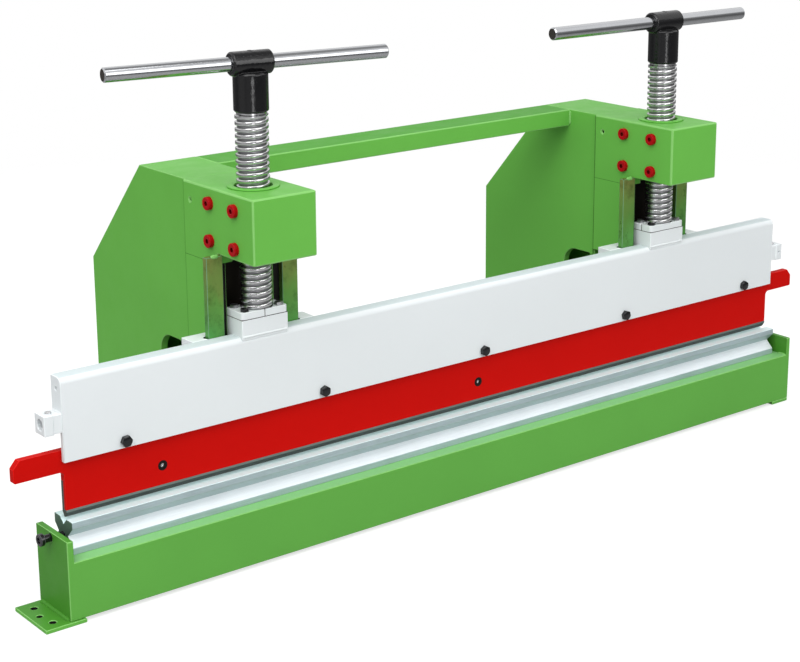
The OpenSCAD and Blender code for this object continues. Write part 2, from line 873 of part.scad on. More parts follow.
module punch_bolts() {
    color(black) placed() punch_bolt_places() {
        translate([0, 0, -punch_bolt_head_h]) hex_head(punch_bolt_af, punch_bolt_head_h);
        translate([0, 0, -over]) cylinder(h = lip_t + punch_t + over, r = punch_bolt_r, $fn = bolt_fine);
    }
}

module blade_screws() {
    sunk = punch_t / 8;
    color(steel) placed() blade_screw_places() difference() {
        translate([0, 0, sunk])
            cylinder(h = punch_t - sunk, r = blade_screw_r, $fn = bolt_fine);
        translate([0, 0, sunk - over]) hex_head(blade_screw_r, punch_t / 4 + over);
    }
}

// Screw blocks and caps

module cap_bolt_places() {
    for (sx = [-1, 1])
        for (sy = [-1, 1])
            translate([sx * (block_w / 2 - cap_bolt_in_x), sy * (block_d / 2 - cap_bolt_in_y), 0])
                children();
}

module screw_block(x) {
    sink = cap_z - collar_z + slide_fit;
    color(ram_white) at_screw(x) difference() {
        block(-block_w / 2, -block_d / 2, block_z, [block_w, block_d, block_h]);
        translate([0, 0, cap_z - sink])
            cylinder(h = sink + over, r = collar_r + run_fit, $fn = fine);
        cap_bolt_places() translate([0, 0, cap_z - block_h / 2])
            cylinder(h = block_h, r = cap_bolt_r + bolt_fit, $fn = bolt_fine);
    }
}

module left_screw_block() screw_block(left_x);
module right_screw_block() screw_block(right_x);

// Cap in two halves; turn is 0 for left and right halves, 90 for front and rear halves
module cap_halves(x, turn) {
    color(ram_white) at_screw(x) difference() {
        translate([0, 0, cap_z]) linear_extrude(height = cap_t) offset(r = cap_corner_r, $fn = fine)
            square([block_w - 2 * cap_corner_r, block_d - 2 * cap_corner_r], center = true);
        translate([0, 0, cap_z - over])
            cylinder(h = cap_t + 2 * over, r = neck_r + run_fit, $fn = fine);
        rotate([0, 0, turn]) translate([-cap_split / 2, -block_w, cap_z - over])
            cube([cap_split, 2 * block_w, cap_t + 2 * over]);
        cap_bolt_places() translate([0, 0, cap_z - over])
            cylinder(h = cap_t + 2 * over, r = cap_bolt_r + bolt_fit, $fn = bolt_fine);
    }
}

module left_cap_halves() cap_halves(left_x, 0);
module right_cap_halves() cap_halves(right_x, 90);

module cap_bolts(x) {
    color(black) at_screw(x) cap_bolt_places() {
        translate([0, 0, cap_top]) hex_head(cap_bolt_af, cap_bolt_head_h);
        translate([0, 0, cap_z - block_h / 2 + bolt_fit])
            cylinder(h = cap_t + block_h / 2, r = cap_bolt_r, $fn = bolt_fine);
    }
}

module left_cap_bolts() cap_bolts(left_x);
module right_cap_bolts() cap_bolts(right_x);

// Screws, hubs and T-bars

// Spindle: collar, neck, thread and the spigot that the hub sits on
module screw(x, hub_low) {
    color(steel) at_screw(x) rotate_extrude($fn = fine) polygon([
        [0, collar_z], [collar_r, collar_z], [collar_r, collar_z + collar_h],
        [neck_r, collar_z + collar_h], [neck_r, thread_z], [screw_r, thread_z],
        [screw_r, hub_low - relief_h], [relief_r, hub_low - relief_h], [relief_r, hub_low],
        [spigot_r, hub_low], [spigot_r, hub_low + spigot_h], [0, hub_low + spigot_h]]);
}

// Hub: upright sleeve with a cross barrel on top
module hub(x, hub_low, turn) {
    bar_z = sleeve_h - hub_sink + barrel_r;
    color(black) at_screw(x) translate([0, 0, hub_low]) rotate([0, 0, turn]) difference() {
        union() {
            chamfered_rod(sleeve_h, sleeve_r, hub_chamfer);
            translate([0, 0, bar_z]) chamfered_rod_x(-barrel_len / 2, barrel_len, barrel_r, hub_chamfer);
        }
        translate([0, 0, -over])
            cylinder(h = spigot_h + over + bolt_fit, r = spigot_r + bolt_fit, $fn = fine);
        translate([0, 0, bar_z]) rod_x(-barrel_len / 2 - over, barrel_len + 2 * over, tbar_r + bolt_fit);
        translate([0, 0, bar_z]) cylinder(h = barrel_r + over, r = grub_r + bolt_fit, $fn = bolt_fine);
    }
}

module tbar(x, hub_low, turn, slide) {
    bar_z = hub_low + sleeve_h - hub_sink + barrel_r;
    color(steel) at_screw(x) translate([0, 0, bar_z]) rotate([0, 0, turn])
        chamfered_rod_x(slide - tbar_len / 2, tbar_len, tbar_r, tbar_chamfer);
}

module hub_grub(x, hub_low, turn) {
    bar_z = hub_low + sleeve_h - hub_sink + barrel_r;
    wall = barrel_r - tbar_r;
    color(black) at_screw(x) translate([0, 0, bar_z + tbar_r + bolt_fit]) rotate([0, 0, turn])
        difference() {
            chamfered_rod(wall, grub_r, grub_r / 8);
            translate([0, 0, wall / 2]) hex_head(grub_r, wall);
        }
}

hub_left = hub_z + hub_rise_left;
hub_right = hub_z + hub_rise_right;

module left_screw() screw(left_x, hub_left);
module left_hub() hub(left_x, hub_left, left_tbar_angle);
module left_tbar() tbar(left_x, hub_left, left_tbar_angle, 0);
module left_hub_grub() hub_grub(left_x, hub_left, left_tbar_angle);
module right_screw() screw(right_x, hub_right);
module right_hub() hub(right_x, hub_right, right_tbar_angle);
module right_tbar() tbar(right_x, hub_right, right_tbar_angle, tbar_slide_right);
module right_hub_grub() hub_grub(right_x, hub_right, right_tbar_angle);

base_beam();
end_plate_left();
end_plate_right();
foot_left();
foot_right();
die();
die_stop();
die_clamp_screw();
left_frame_plate_outer();
left_frame_plate_inner();
left_frame_cover();
right_frame_plate_inner();
right_frame_plate_outer();
right_frame_cover();
left_column_outer();
left_column_inner();
left_column_web();
right_column_inner();
right_column_outer();
right_column_web();
left_head();
right_head();
left_nut();
right_nut();
left_head_bolts();
right_head_bolts();
left_guide_strips();
right_guide_strips();
cross_bar();
ram_beam();
left_lug();
right_lug();
lug_screws();
left_guide_hooks();
right_guide_hooks();
punch_plate();
punch_blade();
punch_bolts();
blade_screws();
left_screw_block();
right_screw_block();
left_cap_halves();
right_cap_halves();
left_cap_bolts();
right_cap_bolts();
left_screw();
left_hub();
left_tbar();
left_hub_grub();
right_screw();
right_hub();
right_tbar();
right_hub_grub();
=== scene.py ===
# Manual press brake: finishes, bevelled pieces, threads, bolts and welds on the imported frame.
import json
import math
import random

import bmesh
import bpy
from mathutils import Matrix, Vector


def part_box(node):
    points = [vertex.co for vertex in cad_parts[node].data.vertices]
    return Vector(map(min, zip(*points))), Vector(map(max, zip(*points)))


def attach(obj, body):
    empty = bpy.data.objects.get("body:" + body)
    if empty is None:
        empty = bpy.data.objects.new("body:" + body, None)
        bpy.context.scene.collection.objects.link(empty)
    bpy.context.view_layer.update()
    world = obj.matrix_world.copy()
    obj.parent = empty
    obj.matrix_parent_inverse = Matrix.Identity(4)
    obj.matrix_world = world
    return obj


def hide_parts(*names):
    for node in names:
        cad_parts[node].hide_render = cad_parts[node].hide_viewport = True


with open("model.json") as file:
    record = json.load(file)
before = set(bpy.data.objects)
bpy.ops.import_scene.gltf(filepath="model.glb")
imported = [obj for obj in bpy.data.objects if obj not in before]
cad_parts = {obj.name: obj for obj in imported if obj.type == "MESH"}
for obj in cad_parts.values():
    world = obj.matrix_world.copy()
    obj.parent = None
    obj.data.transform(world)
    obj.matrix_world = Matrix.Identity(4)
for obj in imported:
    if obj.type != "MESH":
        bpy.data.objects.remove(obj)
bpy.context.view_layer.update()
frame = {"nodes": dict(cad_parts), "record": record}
nodes = frame["nodes"]
MM = 0.001
RANDOM_SEED = 11
random.seed(RANDOM_SEED)


# Places read from the frame

def span(node):
    """Lowest and highest corner of a node as vectors."""
    low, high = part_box(node)
    return Vector(low), Vector(high)


def middle(node):
    """Centre of a node's box."""
    low, high = span(node)
    return (low + high) / 2


def body_of_node(node):
    """Name of the body that holds a node."""
    for name, members in frame["record"]["behaviour"]["bodies"].items():
        if node in members:
            return name


SIDES = ("left", "right")
SCREW = {side: middle(side + "_screw") for side in SIDES}
# Cosines: from the first a face counts as facing an axis, and the second parts steep from flat
FACING = 0.9
STEEP = 0.5


def new_object(name, data):
    """New object in the scene."""
    obj = bpy.data.objects.new(name, data)
    bpy.context.scene.collection.objects.link(obj)
    return obj


# Node helpers

# Sockets of a mix node that mixes colours
MIX_FACTOR, MIX_A, MIX_B, MIX_RESULT = 0, 6, 7, 2
# Middle stretch of a noise, which holds nearly all its values
NOISE_LOW, NOISE_HIGH = 0.3, 0.7


def new_material(name):
    """New node material with its tree and its principled shader."""
    mat = bpy.data.materials.new(name)
    mat.use_nodes = True
    tree = mat.node_tree
    shader = tree.nodes["Principled BSDF"]
    return mat, tree, shader


def coords(tree, stretch=(1, 1, 1)):
    """Object coordinates, stretched per axis."""
    coord = tree.nodes.new("ShaderNodeTexCoord")
    mapping = tree.nodes.new("ShaderNodeMapping")
    mapping.inputs["Scale"].default_value = stretch
    tree.links.new(coord.outputs["Object"], mapping.inputs["Vector"])
    return mapping.outputs["Vector"]


def separated(tree, kind):
    """X, Y and Z of a kind of coordinates."""
    coord = tree.nodes.new("ShaderNodeTexCoord")
    node = tree.nodes.new("ShaderNodeSeparateXYZ")
    tree.links.new(coord.outputs[kind], node.inputs[0])
    return node.outputs


def noise(tree, vector, scale, detail=3.0, rough=0.55):
    """Noise value, scale in waves per metre."""
    node = tree.nodes.new("ShaderNodeTexNoise")
    node.inputs["Scale"].default_value = scale
    node.inputs["Detail"].default_value = detail
    node.inputs["Roughness"].default_value = rough
    tree.links.new(vector, node.inputs["Vector"])
    return node.outputs["Fac"]


def ramp(tree, value, stops):
    """Colour ramp: stops are (place, colour)."""
    node = tree.nodes.new("ShaderNodeValToRGB")
    bar = node.color_ramp
    while len(bar.elements) < len(stops):
        bar.elements.new(0.5)
    for element, (place, colour) in zip(bar.elements, stops):
        element.position = place
        element.color = (*colour, 1)
    tree.links.new(value, node.inputs["Fac"])
    return node.outputs["Color"]


def spread(tree, value, low, high, start=NOISE_LOW, stop=NOISE_HIGH):
    """Map a stretch of values to a range, by default the middle stretch of a noise."""
    node = tree.nodes.new("ShaderNodeMapRange")
    node.inputs["From Min"].default_value = start
    node.inputs["From Max"].default_value = stop
    node.inputs["To Min"].default_value = low
    node.inputs["To Max"].default_value = high
    tree.links.new(value, node.inputs["Value"])
    return node.outputs["Result"]


def mixed(tree, factor, first, second, blend="MIX"):
    """Colour mix of two sockets or colours, by a socket or a number."""
    node = tree.nodes.new("ShaderNodeMix")
    node.data_type = "RGBA"
    node.blend_type = blend
    for index, value in ((MIX_A, first), (MIX_B, second), (MIX_FACTOR, factor)):
        if isinstance(value, tuple):
            node.inputs[index].default_value = (*value, 1)
        elif isinstance(value, float):
            node.inputs[index].default_value = value
        else:
            tree.links.new(value, node.inputs[index])
    return node.outputs[MIX_RESULT]


def mixed_shader(tree, factor, first, second):
    """Mix of two shaders by a socket."""
    node = tree.nodes.new("ShaderNodeMixShader")
    for index, socket in enumerate((factor, first.outputs[0], second.outputs[0])):
        tree.links.new(socket, node.inputs[index])
    return node.outputs[0]


def bump(tree, shader, layers):
    """Chain of bumps: layers are (height socket, distance in metres, strength)."""
    normal = None
    for height, distance, strength in layers:
        node = tree.nodes.new("ShaderNodeBump")
        node.inputs["Distance"].default_value = distance
        node.inputs["Strength"].default_value = strength
        tree.links.new(height, node.inputs["Height"])
        if normal is not None:
            tree.links.new(normal, node.inputs["Normal"])
        normal = node.outputs["Normal"]
    tree.links.new(normal, shader.inputs["Normal"])


def combined(tree, operation, *values):
    """One maths operation over several sockets or numbers."""
    result = values[0]
    for value in values[1:]:
        node = tree.nodes.new("ShaderNodeMath")
        node.operation = operation
        tree.links.new(result, node.inputs[0])
        if isinstance(value, float):
            node.inputs[1].default_value = value
        else:
            tree.links.new(value, node.inputs[1])
        result = node.outputs[0]
    return result


def product(tree, *values):
    """Product of several values."""
    return combined(tree, "MULTIPLY", *values)


def band(tree, value, start, stop, ease):
    """One between two values, fading to zero outside them."""
    rise = spread(tree, value, 0, 1, start - ease, start)
    fall = spread(tree, value, 1, 0, stop, stop + ease)
    return product(tree, rise, fall)


def tint(colour, factor):
    """Colour made lighter or darker."""
    return tuple(min(1.0, c * factor) for c in colour)


def srgb(r, g, b):
    """Linear colour from 0 to 255 display values, by the sRGB curve."""
    def line(v):
        v = v / 255
        return v / 12.92 if v <= 0.04045 else ((v + 0.055) / 1.055) ** 2.4
    return (line(r), line(g), line(b))


# Materials

# Waves per metre of the noises on paint
PAINT_CLOUDS, PAINT_SAG, PAINT_SHEEN = 7, 11, 35
PAINT_DUST, CAST_GRAIN, PAINT_PEEL = 240, 300, 380
# Depths of their bumps
SAG_DEPTH, CAST_DEPTH, PEEL_DEPTH = 0.8 * MM, 0.6 * MM, 0.1 * MM
# Most that dust may cover, and the noise values between which it comes up
DUST_COVER = 0.3
DUST_FROM_TO = (0.45, 0.8)

# Waves per metre of the noises on steel, how rough two of them are, and how strong their bumps
STEEL_CLOUDS, STEEL_STAINS, STEEL_SPECKS = 22, 48, 500
GRAIN_ROUGH, STAIN_ROUGH = 0.65, 0.7
GRAIN_STRENGTH, SPECK_STRENGTH = 0.6, 0.3
# Most that clouds and stains may cover, and the noise values over which they come up
CLOUD_COVER = 0.35
CLOUD_FROM_TO = (0.45, 0.7)
STAIN_COVER = 0.8
STAIN_EASE = 0.22


def shades(colour, shade):
    """Stops of a ramp from a little darker to a little lighter than a colour."""
    return [(NOISE_LOW, tint(colour, 1 - shade)), (NOISE_HIGH, tint(colour, 1 + shade))]


def paint(name, colour, rough=(0.34, 0.46), shade=0.03, peel=0.15, gloss=0.12, dust=0.05, cast=0.0):
    """Sprayed enamel: faint clouds, orange peel, a little dust, and a casting's grain below it."""
    mat, tree, shader = new_material(name)
    shader.inputs["Specular IOR Level"].default_value = gloss
    space = coords(tree)
    base = ramp(tree, noise(tree, space, PAINT_CLOUDS, detail=4), shades(colour, shade))
    dusty = spread(tree, noise(tree, space, PAINT_DUST), 0, DUST_COVER, *DUST_FROM_TO)
    base = mixed(tree, dusty, base, tint(colour, 1 - dust))
    tree.links.new(base, shader.inputs["Base Color"])
    tree.links.new(spread(tree, noise(tree, space, PAINT_SHEEN), *rough), shader.inputs["Roughness"])
    layers = [(noise(tree, space, PAINT_SAG, detail=2), SAG_DEPTH, peel),
              (noise(tree, space, PAINT_PEEL, detail=1), PEEL_DEPTH, peel)]
    if cast > 0:
        layers.append((noise(tree, space, CAST_GRAIN), CAST_DEPTH, cast))
    bump(tree, shader, layers)
    return mat


def metal(name, colour, rough=(0.24, 0.36), grain=(1, 60, 60), scale=26, depth=0.05 * MM, shade=0.12,
          stain=None, stain_from=0.5, metallic=1.0):
    """Machined steel with a grain that runs where the stretch is smallest."""
    mat, tree, shader = new_material(name)
    shader.inputs["Metallic"].default_value = metallic
    lines = noise(tree, coords(tree, grain), scale, detail=4, rough=GRAIN_ROUGH)
    space = coords(tree)
    base = ramp(tree, lines, shades(colour, shade))
    cloudy = spread(tree, noise(tree, space, STEEL_CLOUDS, detail=4), 0, CLOUD_COVER, *CLOUD_FROM_TO)
    base = mixed(tree, cloudy, base, tint(colour, 1 - 2 * shade))
    if stain:
        spots = noise(tree, space, STEEL_STAINS, detail=5, rough=STAIN_ROUGH)
        stained = spread(tree, spots, 0, STAIN_COVER, stain_from, stain_from + STAIN_EASE)
        base = mixed(tree, stained, base, stain)
    tree.links.new(base, shader.inputs["Base Color"])
    tree.links.new(spread(tree, lines, *rough), shader.inputs["Roughness"])
    specks = noise(tree, space, STEEL_SPECKS, detail=2)
    bump(tree, shader, [(lines, depth, GRAIN_STRENGTH), (specks, depth, SPECK_STRENGTH)])
    return mat


def height_tone(mat, low, high, stops):
    """Tones a metal by its height between two levels, as rust and oil leave it."""
    waves = 30
    wander = 0.12
    upward_stretch = (1, 1, 0.4)
    tree = mat.node_tree
    socket = tree.nodes["Principled BSDF"].inputs["Base Color"]
    base = socket.links[0].from_socket
    rise = spread(tree, separated(tree, "Object")["Z"], 0, 1, low, high)
    wave = spread(tree, noise(tree, coords(tree, upward_stretch), waves, detail=4), -wander, wander)
    tone = ramp(tree, combined(tree, "ADD", rise, wave), stops)
    tree.links.new(mixed(tree, 1.0, base, tone, "MULTIPLY"), socket)
    return mat


GREEN = srgb(104, 180, 75)
WHITE = srgb(226, 231, 233)
RED = srgb(198, 14, 9)
BOLT_RED = srgb(166, 4, 14)

green = paint("green_enamel", GREEN)
# Darker copy of the green for the base parts: painted shade
green_base_shade = paint("green_base_shade", srgb(99, 171, 73))
# Lighter, paler copy of the green for faces that look up: painted highlight
green_top_highlit = paint("green_shelf_highlit", srgb(134, 198, 124), rough=(0.3, 0.4))
# Darker copy of the green for the low end plates, feet and foot weld: painted shade
green_low_shade = paint("green_low_shade", srgb(74, 143, 47))
# Darker copy of the green for the cross bar's top: painted shade
green_bar_top_shade = paint("green_bar_top_shade", srgb(78, 156, 50), gloss=0.05)
# Lighter green on rounded edges and some welds: painted highlight
green_highlight = paint("green_highlight", srgb(130, 194, 106), rough=(0.28, 0.4))
white = paint("ram_enamel", WHITE, rough=(0.3, 0.38), shade=0.008, peel=0.05, dust=0.02, gloss=0.1)
# Darker, bluer copy of the white for the beam's top: painted shade
white_top_shade = paint("ram_top_shade", srgb(204, 214, 217), shade=0.01, dust=0.02, gloss=0.05)
# Lighter white on rounded edges: painted highlight
white_highlight = paint("ram_edge_highlight", tint(WHITE, 1.15), shade=0.01, dust=0.02)
red = paint("punch_enamel", RED, rough=(0.42, 0.54), gloss=0.04, dust=0.08)
# Lighter red on rounded edges: painted highlight
red_highlight = paint("punch_edge_highlight", tint(RED, 1.25), gloss=0.12)
bolt_red = paint("bolt_enamel", BOLT_RED, rough=(0.24, 0.34), gloss=0.14)
# Darker red inside the bolt sockets: painted shade
bolt_socket_shade = paint("bolt_socket_shade", tint(BOLT_RED, 0.35), gloss=0.1)
black = paint("black_oxide", (0.006, 0.006, 0.007), rough=(0.09, 0.2), shade=0.3, peel=0.3, gloss=0.5)
black_cast = paint("black_cast", (0.005, 0.005, 0.006), rough=(0.06, 0.16), shade=0.3, peel=0.3, gloss=0.5,
                   cast=0.5)
# Near black in holes, slots, inner column faces, the beam's lip line and round the blade screws: painted
# shade
painted_shade = paint("painted_shade_dark", (0.008, 0.008, 0.007), rough=(0.5, 0.7), shade=0.3)
seam_dark = paint("green_seam", tint(GREEN, 0.28), rough=(0.5, 0.6), gloss=0.05)
seam_faint = paint("green_seam_faint", tint(GREEN, 0.7), rough=(0.5, 0.6), gloss=0.05)
seam_grey = paint("white_seam", (0.07, 0.07, 0.065), rough=(0.5, 0.6), gloss=0.05)
# Lighter grey on the clamp screw's rounded edges: wear, with a painted highlight
black_edge_worn_highlit = paint("black_worn_highlit", (0.09, 0.09, 0.1), rough=(0.25, 0.4), shade=0.3)
# Bare dark steel of the column web, darkened further as painted shade inside the column
bare_web_in_shade = paint("column_web_bare_and_shade", (0.022, 0.018, 0.014), rough=(0.5, 0.7), shade=0.35)
ground = metal("ground_steel", (0.22, 0.27, 0.25), rough=(0.34, 0.48), grain=(1, 45, 45))
turned = metal("turned_steel", (0.64, 0.64, 0.65), rough=(0.18, 0.28), grain=(8, 8, 240), scale=6)
worn_bolt = metal("worn_bolt", (0.35, 0.35, 0.36), rough=(0.3, 0.45), grain=(20, 20, 20))
tbar_steel = metal("tbar_steel", (0.51, 0.52, 0.54), rough=(0.1, 0.15), grain=(180, 12, 12), scale=5,
                   shade=0.05, depth=0.006 * MM)
sawn_steel = metal("sawn_steel", (0.1, 0.09, 0.085), rough=(0.4, 0.55), grain=(30, 200, 30))
# Die steel in four copies by facing: painted highlight on top, lighter on faces that look up, darker on the
# sides, painted shade at the ends
die_land_highlit = metal("die_land_highlit", (0.76, 0.99, 1.0), rough=(0.45, 0.55), grain=(1, 40, 40), scale=18,
                 metallic=0.15, shade=0.03)
die_up_lit = metal("die_up_lit", (0.82, 0.87, 0.91), rough=(0.42, 0.52), grain=(1, 40, 40), scale=18,
                   stain=(0.55, 0.6, 0.64), stain_from=0.66, metallic=0.25, shade=0.05)
die_side_shade = metal("die_side_shade", (0.44, 0.54, 0.58), rough=(0.4, 0.52), grain=(1, 40, 40), scale=18,
                 stain=(0.3, 0.36, 0.4), stain_from=0.62, metallic=0.35)
die_end_shade = metal("die_end_shade", (0.1, 0.17, 0.13), rough=(0.4, 0.5), grain=(20, 20, 20), metallic=0.4)
# Blade's down-facing bevels and ends: painted shade
blade_shade = metal("blade_shade", (0.06, 0.08, 0.07), rough=(0.5, 0.6), metallic=0.3)
strip_steel = metal("strip_steel", (0.62, 0.64, 0.62), rough=(0.26, 0.36), grain=(6, 6, 3), scale=6,
                    shade=0.1, stain=(0.26, 0.3, 0.24), metallic=0.5)
STRIP_TONES = [(0.0, (0.3, 0.75, 0.55)), (0.3, (0.13, 0.54, 0.12)), (0.7, (0.22, 0.54, 0.1)),
               (1.0, (0.42, 0.46, 0.12))]
height_tone(strip_steel, 200 * MM, 400 * MM, STRIP_TONES)
# Darker green on the strips' rounded edges: painted shade with a painted green reflection
strip_edge_shade = metal("strip_edge_shade", (0.16, 0.34, 0.18), rough=(0.5, 0.6), grain=(6, 6, 3), metallic=0.2)
# Thread roots and the flanks after them: painted shade
thread_root_shade = metal("thread_root_shade", (0.3, 0.3, 0.31), rough=(0.3, 0.4), grain=(8, 8, 240), scale=6)


# Mesh helpers

# Angle in degrees from which an edge is sharp
SHARP_ANGLE = 32
# Vertices closer than this are one, and faces that bend less than this angle in degrees are flat
MERGE_GAP = 0.01 * MM
FLAT_ANGLE = 0.4
# How near to a plane an edge lies in it
PLANE_GAP = 0.05 * MM
# Finish of rounded edges that follows the faces beside them
LIKE_FACES = -1


def finish_mesh(bm, name, mats, body, smooth_angle=SHARP_ANGLE):
    """New object from a bmesh, with sharp edges where faces meet at more than the angle."""
    limit = math.radians(smooth_angle)
    bm.normal_update()
    for face in bm.faces:
        face.smooth = True
    for edge in bm.edges:
        edge.smooth = len(edge.link_faces) == 2 and edge.calc_face_angle(0) < limit
    mesh = bpy.data.meshes.new(name)
    bm.to_mesh(mesh)
    bm.free()
    obj = new_object(name, mesh)
    for mat in mats:
        mesh.materials.append(mat)
    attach(obj, body)
    return obj


def lies_in(edge, axis, place):
    """Whether both ends of an edge lie in a plane across an axis."""
    return all(abs(vert.co[axis] - place) < PLANE_GAP for vert in edge.verts)


def mark_edges(bm, flush, skip):
    """Bevel weight on sharp edges, except those on a plane where two pieces are welded flush
    and those that skip names by their middle."""
    sharp_from = math.radians(SHARP_ANGLE)
    layer = bm.edges.layers.float.new("bevel_weight_edge")
    for edge in bm.edges:
        sharp = len(edge.link_faces) == 2 and edge.calc_face_angle(0) > sharp_from
        hidden = any(lies_in(edge, axis, place) for axis, place in flush)
        if skip and skip((edge.verts[0].co + edge.verts[1].co) / 2):
            hidden = True
        edge[layer] = 1.0 if sharp and not hidden else 0.0


def add_bevel(obj, width, segments, edge_finish):
    """Rounded edges with the finish of a material index, or like the faces beside them."""
    mod = obj.modifiers.new("edges", "BEVEL")
    mod.width = width
    mod.segments = segments
    mod.limit_method = "WEIGHT"
    mod.use_clamp_overlap = False
    mod.miter_outer = "MITER_ARC"
    mod.material = edge_finish
    normals = obj.modifiers.new("normals", "WEIGHTED_NORMAL")
    normals.keep_sharp = True
    normals.weight = 100


def cad_mesh(node):
    """Clean bmesh of a CAD node, flat faces joined."""
    bm = bmesh.new()
    bm.from_mesh(nodes[node].data)
    bmesh.ops.remove_doubles(bm, verts=bm.verts, dist=MERGE_GAP)
    flat = math.radians(FLAT_ANGLE)
    bmesh.ops.dissolve_limit(bm, angle_limit=flat, verts=bm.verts, edges=bm.edges)
    return bm


def dress(node, mats, width, segments=2, flush=(), rule=None, skip=None, edge_finish=1):
    """The node's own shape with its edges rounded and its finish on. A rule names the finish
    of the faces that differ: it gets a face's centre and normal and gives a material index."""
    bm = cad_mesh(node)
    mark_edges(bm, flush, skip)
    if rule:
        for face in bm.faces:
            face.material_index = rule(face.calc_center_median(), face.normal)
    obj = finish_mesh(bm, "show_" + node, mats, body_of_node(node))
    add_bevel(obj, width, segments, edge_finish if len(mats) > 1 else LIKE_FACES)
    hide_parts(node)


def revolve(profile, steps=64):
    """bmesh of a profile of (radius, height) turned about Z, closed at the axis."""
    bm = bmesh.new()
    rings = []
    for radius, height in profile:
        if radius == 0:
            rings.append([bm.verts.new((0, 0, height))])
        else:
            rings.append([bm.verts.new((radius * math.cos(a), radius * math.sin(a), height))
                          for a in (2 * math.pi * i / steps for i in range(steps))])
    for low, high in zip(rings, rings[1:]):
        for i in range(steps):
            j = (i + 1) % steps
            corners = [low[i % len(low)], low[j % len(low)], high[j % len(high)], high[i % len(high)]]
            face = list(dict.fromkeys(corners))
            if len(face) > 2:
                bm.faces.new(face)
    bmesh.ops.recalc_face_normals(bm, faces=bm.faces)
    return bm


def skin(bm, rings):
    """Faces over rings of as many vertices each, with both ends closed."""
    count = len(rings[0])
    for low, high in zip(rings, rings[1:]):
        for i in range(count):
            j = (i + 1) % count
            bm.faces.new([low[i], low[j], high[j], high[i]])
    bm.faces.new(list(reversed(rings[0])))
    bm.faces.new(rings[-1])


def rod(radius, low, high):
    """bmesh of a plain round bar about Z between two heights."""
    steps = 24
    return revolve([(0, low), (radius, low), (radius, high), (0, high)], steps)


def moved(bm, matrix):
    """The bmesh after a transform."""
    bmesh.ops.transform(bm, matrix=matrix, verts=bm.verts)
    return bm


def joined(parts):
    """One bmesh out of several."""
    out = bmesh.new()
    for part in parts:
        mesh = bpy.data.meshes.new("part")
        part.to_mesh(mesh)
        part.free()
        out.from_mesh(mesh)
        bpy.data.meshes.remove(mesh)
    return out


# Camera

# Fitted to the photograph: lens and centre in its pixels, place in metres
LENS_PX = 1791.913
CENTRE_PX = (399.565, 250.895)
PHOTO_W, PHOTO_H = 800, 662
YAW = math.radians(38.021)
TILT_DOWN = math.radians(14.397)
ROLL = math.radians(-0.345)
EYE = Vector((-1.52830, -1.95769, 0.95402))
SENSOR_W = 36
CLIP_END = 50


def make_camera():
    """Camera at the photograph's viewpoint."""
    data = bpy.data.cameras.new("camera")
    data.sensor_fit = "HORIZONTAL"
    data.sensor_width = SENSOR_W
    data.lens = LENS_PX * SENSOR_W / PHOTO_W
    data.shift_x = (PHOTO_W / 2 - CENTRE_PX[0]) / PHOTO_W
    data.shift_y = (CENTRE_PX[1] - PHOTO_H / 2) / PHOTO_W
    data.clip_end = CLIP_END
    reach = math.cos(TILT_DOWN)
    forward = Vector((math.sin(YAW) * reach, math.cos(YAW) * reach, -math.sin(TILT_DOWN)))
    level = Vector((math.cos(YAW), -math.sin(YAW), 0))
    upward = level.cross(forward)
    right = level * math.cos(ROLL) + upward * math.sin(ROLL)
    up = upward * math.cos(ROLL) - level * math.sin(ROLL)
    turn = Matrix((right, up, -forward)).transposed().to_4x4()
    camera = new_object("camera", data)
    camera.matrix_world = Matrix.Translation(EYE) @ turn
    bpy.context.scene.camera = camera


# Light, floor and background

# Brightness of the studio from straight down (0) over the horizon (0.5) to straight up (1)
SKY_LEVELS = [(0.0, 0.3), (0.35, 0.22), (0.48, 0.14), (0.56, 0.26), (0.66, 0.4), (0.71, 1.1),
              (0.86, 1.1), (0.93, 0.4)]
# Glow at the back above the horizon and on the left, with the directions over which it comes up
BACK_LEVEL = 0.78
BACK_FROM_TO = (0.1, 0.5)
HORIZON_FROM_TO = (0, 0.1)
LEFT_LEVEL = 0.5
LEFT_FROM_TO = (-0.7, -0.97)
# A wide card and a narrow strip of light low in front on the left, which upright metal mirrors
FRONT_FROM_TO = (-0.2, 0)
CARD_RISE = (-0.45, -0.06)
CARD_ACROSS = (-0.85, -0.12)
CARD_EASE_UP, CARD_EASE_ACROSS = 0.06, 0.1
CARD_LEVEL = 0.45
STREAK_ACROSS = (-0.42, -0.26)
STREAK_EASE = 0.03
STREAK_LEVEL = 4.0


def area_light(name, place, target, size, power):
    """Soft box that looks at a target: places and size in metres, power in watts."""
    data = bpy.data.lights.new(name, "AREA")
    data.shape = "RECTANGLE"
    data.size, data.size_y = size
    data.energy = power
    obj = new_object(name, data)
    obj.location = place
    obj.rotation_euler = (Vector(target) - Vector(place)).to_track_quat("-Z", "Y").to_euler()


def background(tree):
    """White background shader of strength 1."""
    node = tree.nodes.new("ShaderNodeBackground")
    node.inputs["Color"].default_value = (1, 1, 1, 1)
    node.inputs["Strength"].default_value = 1.0
    return node


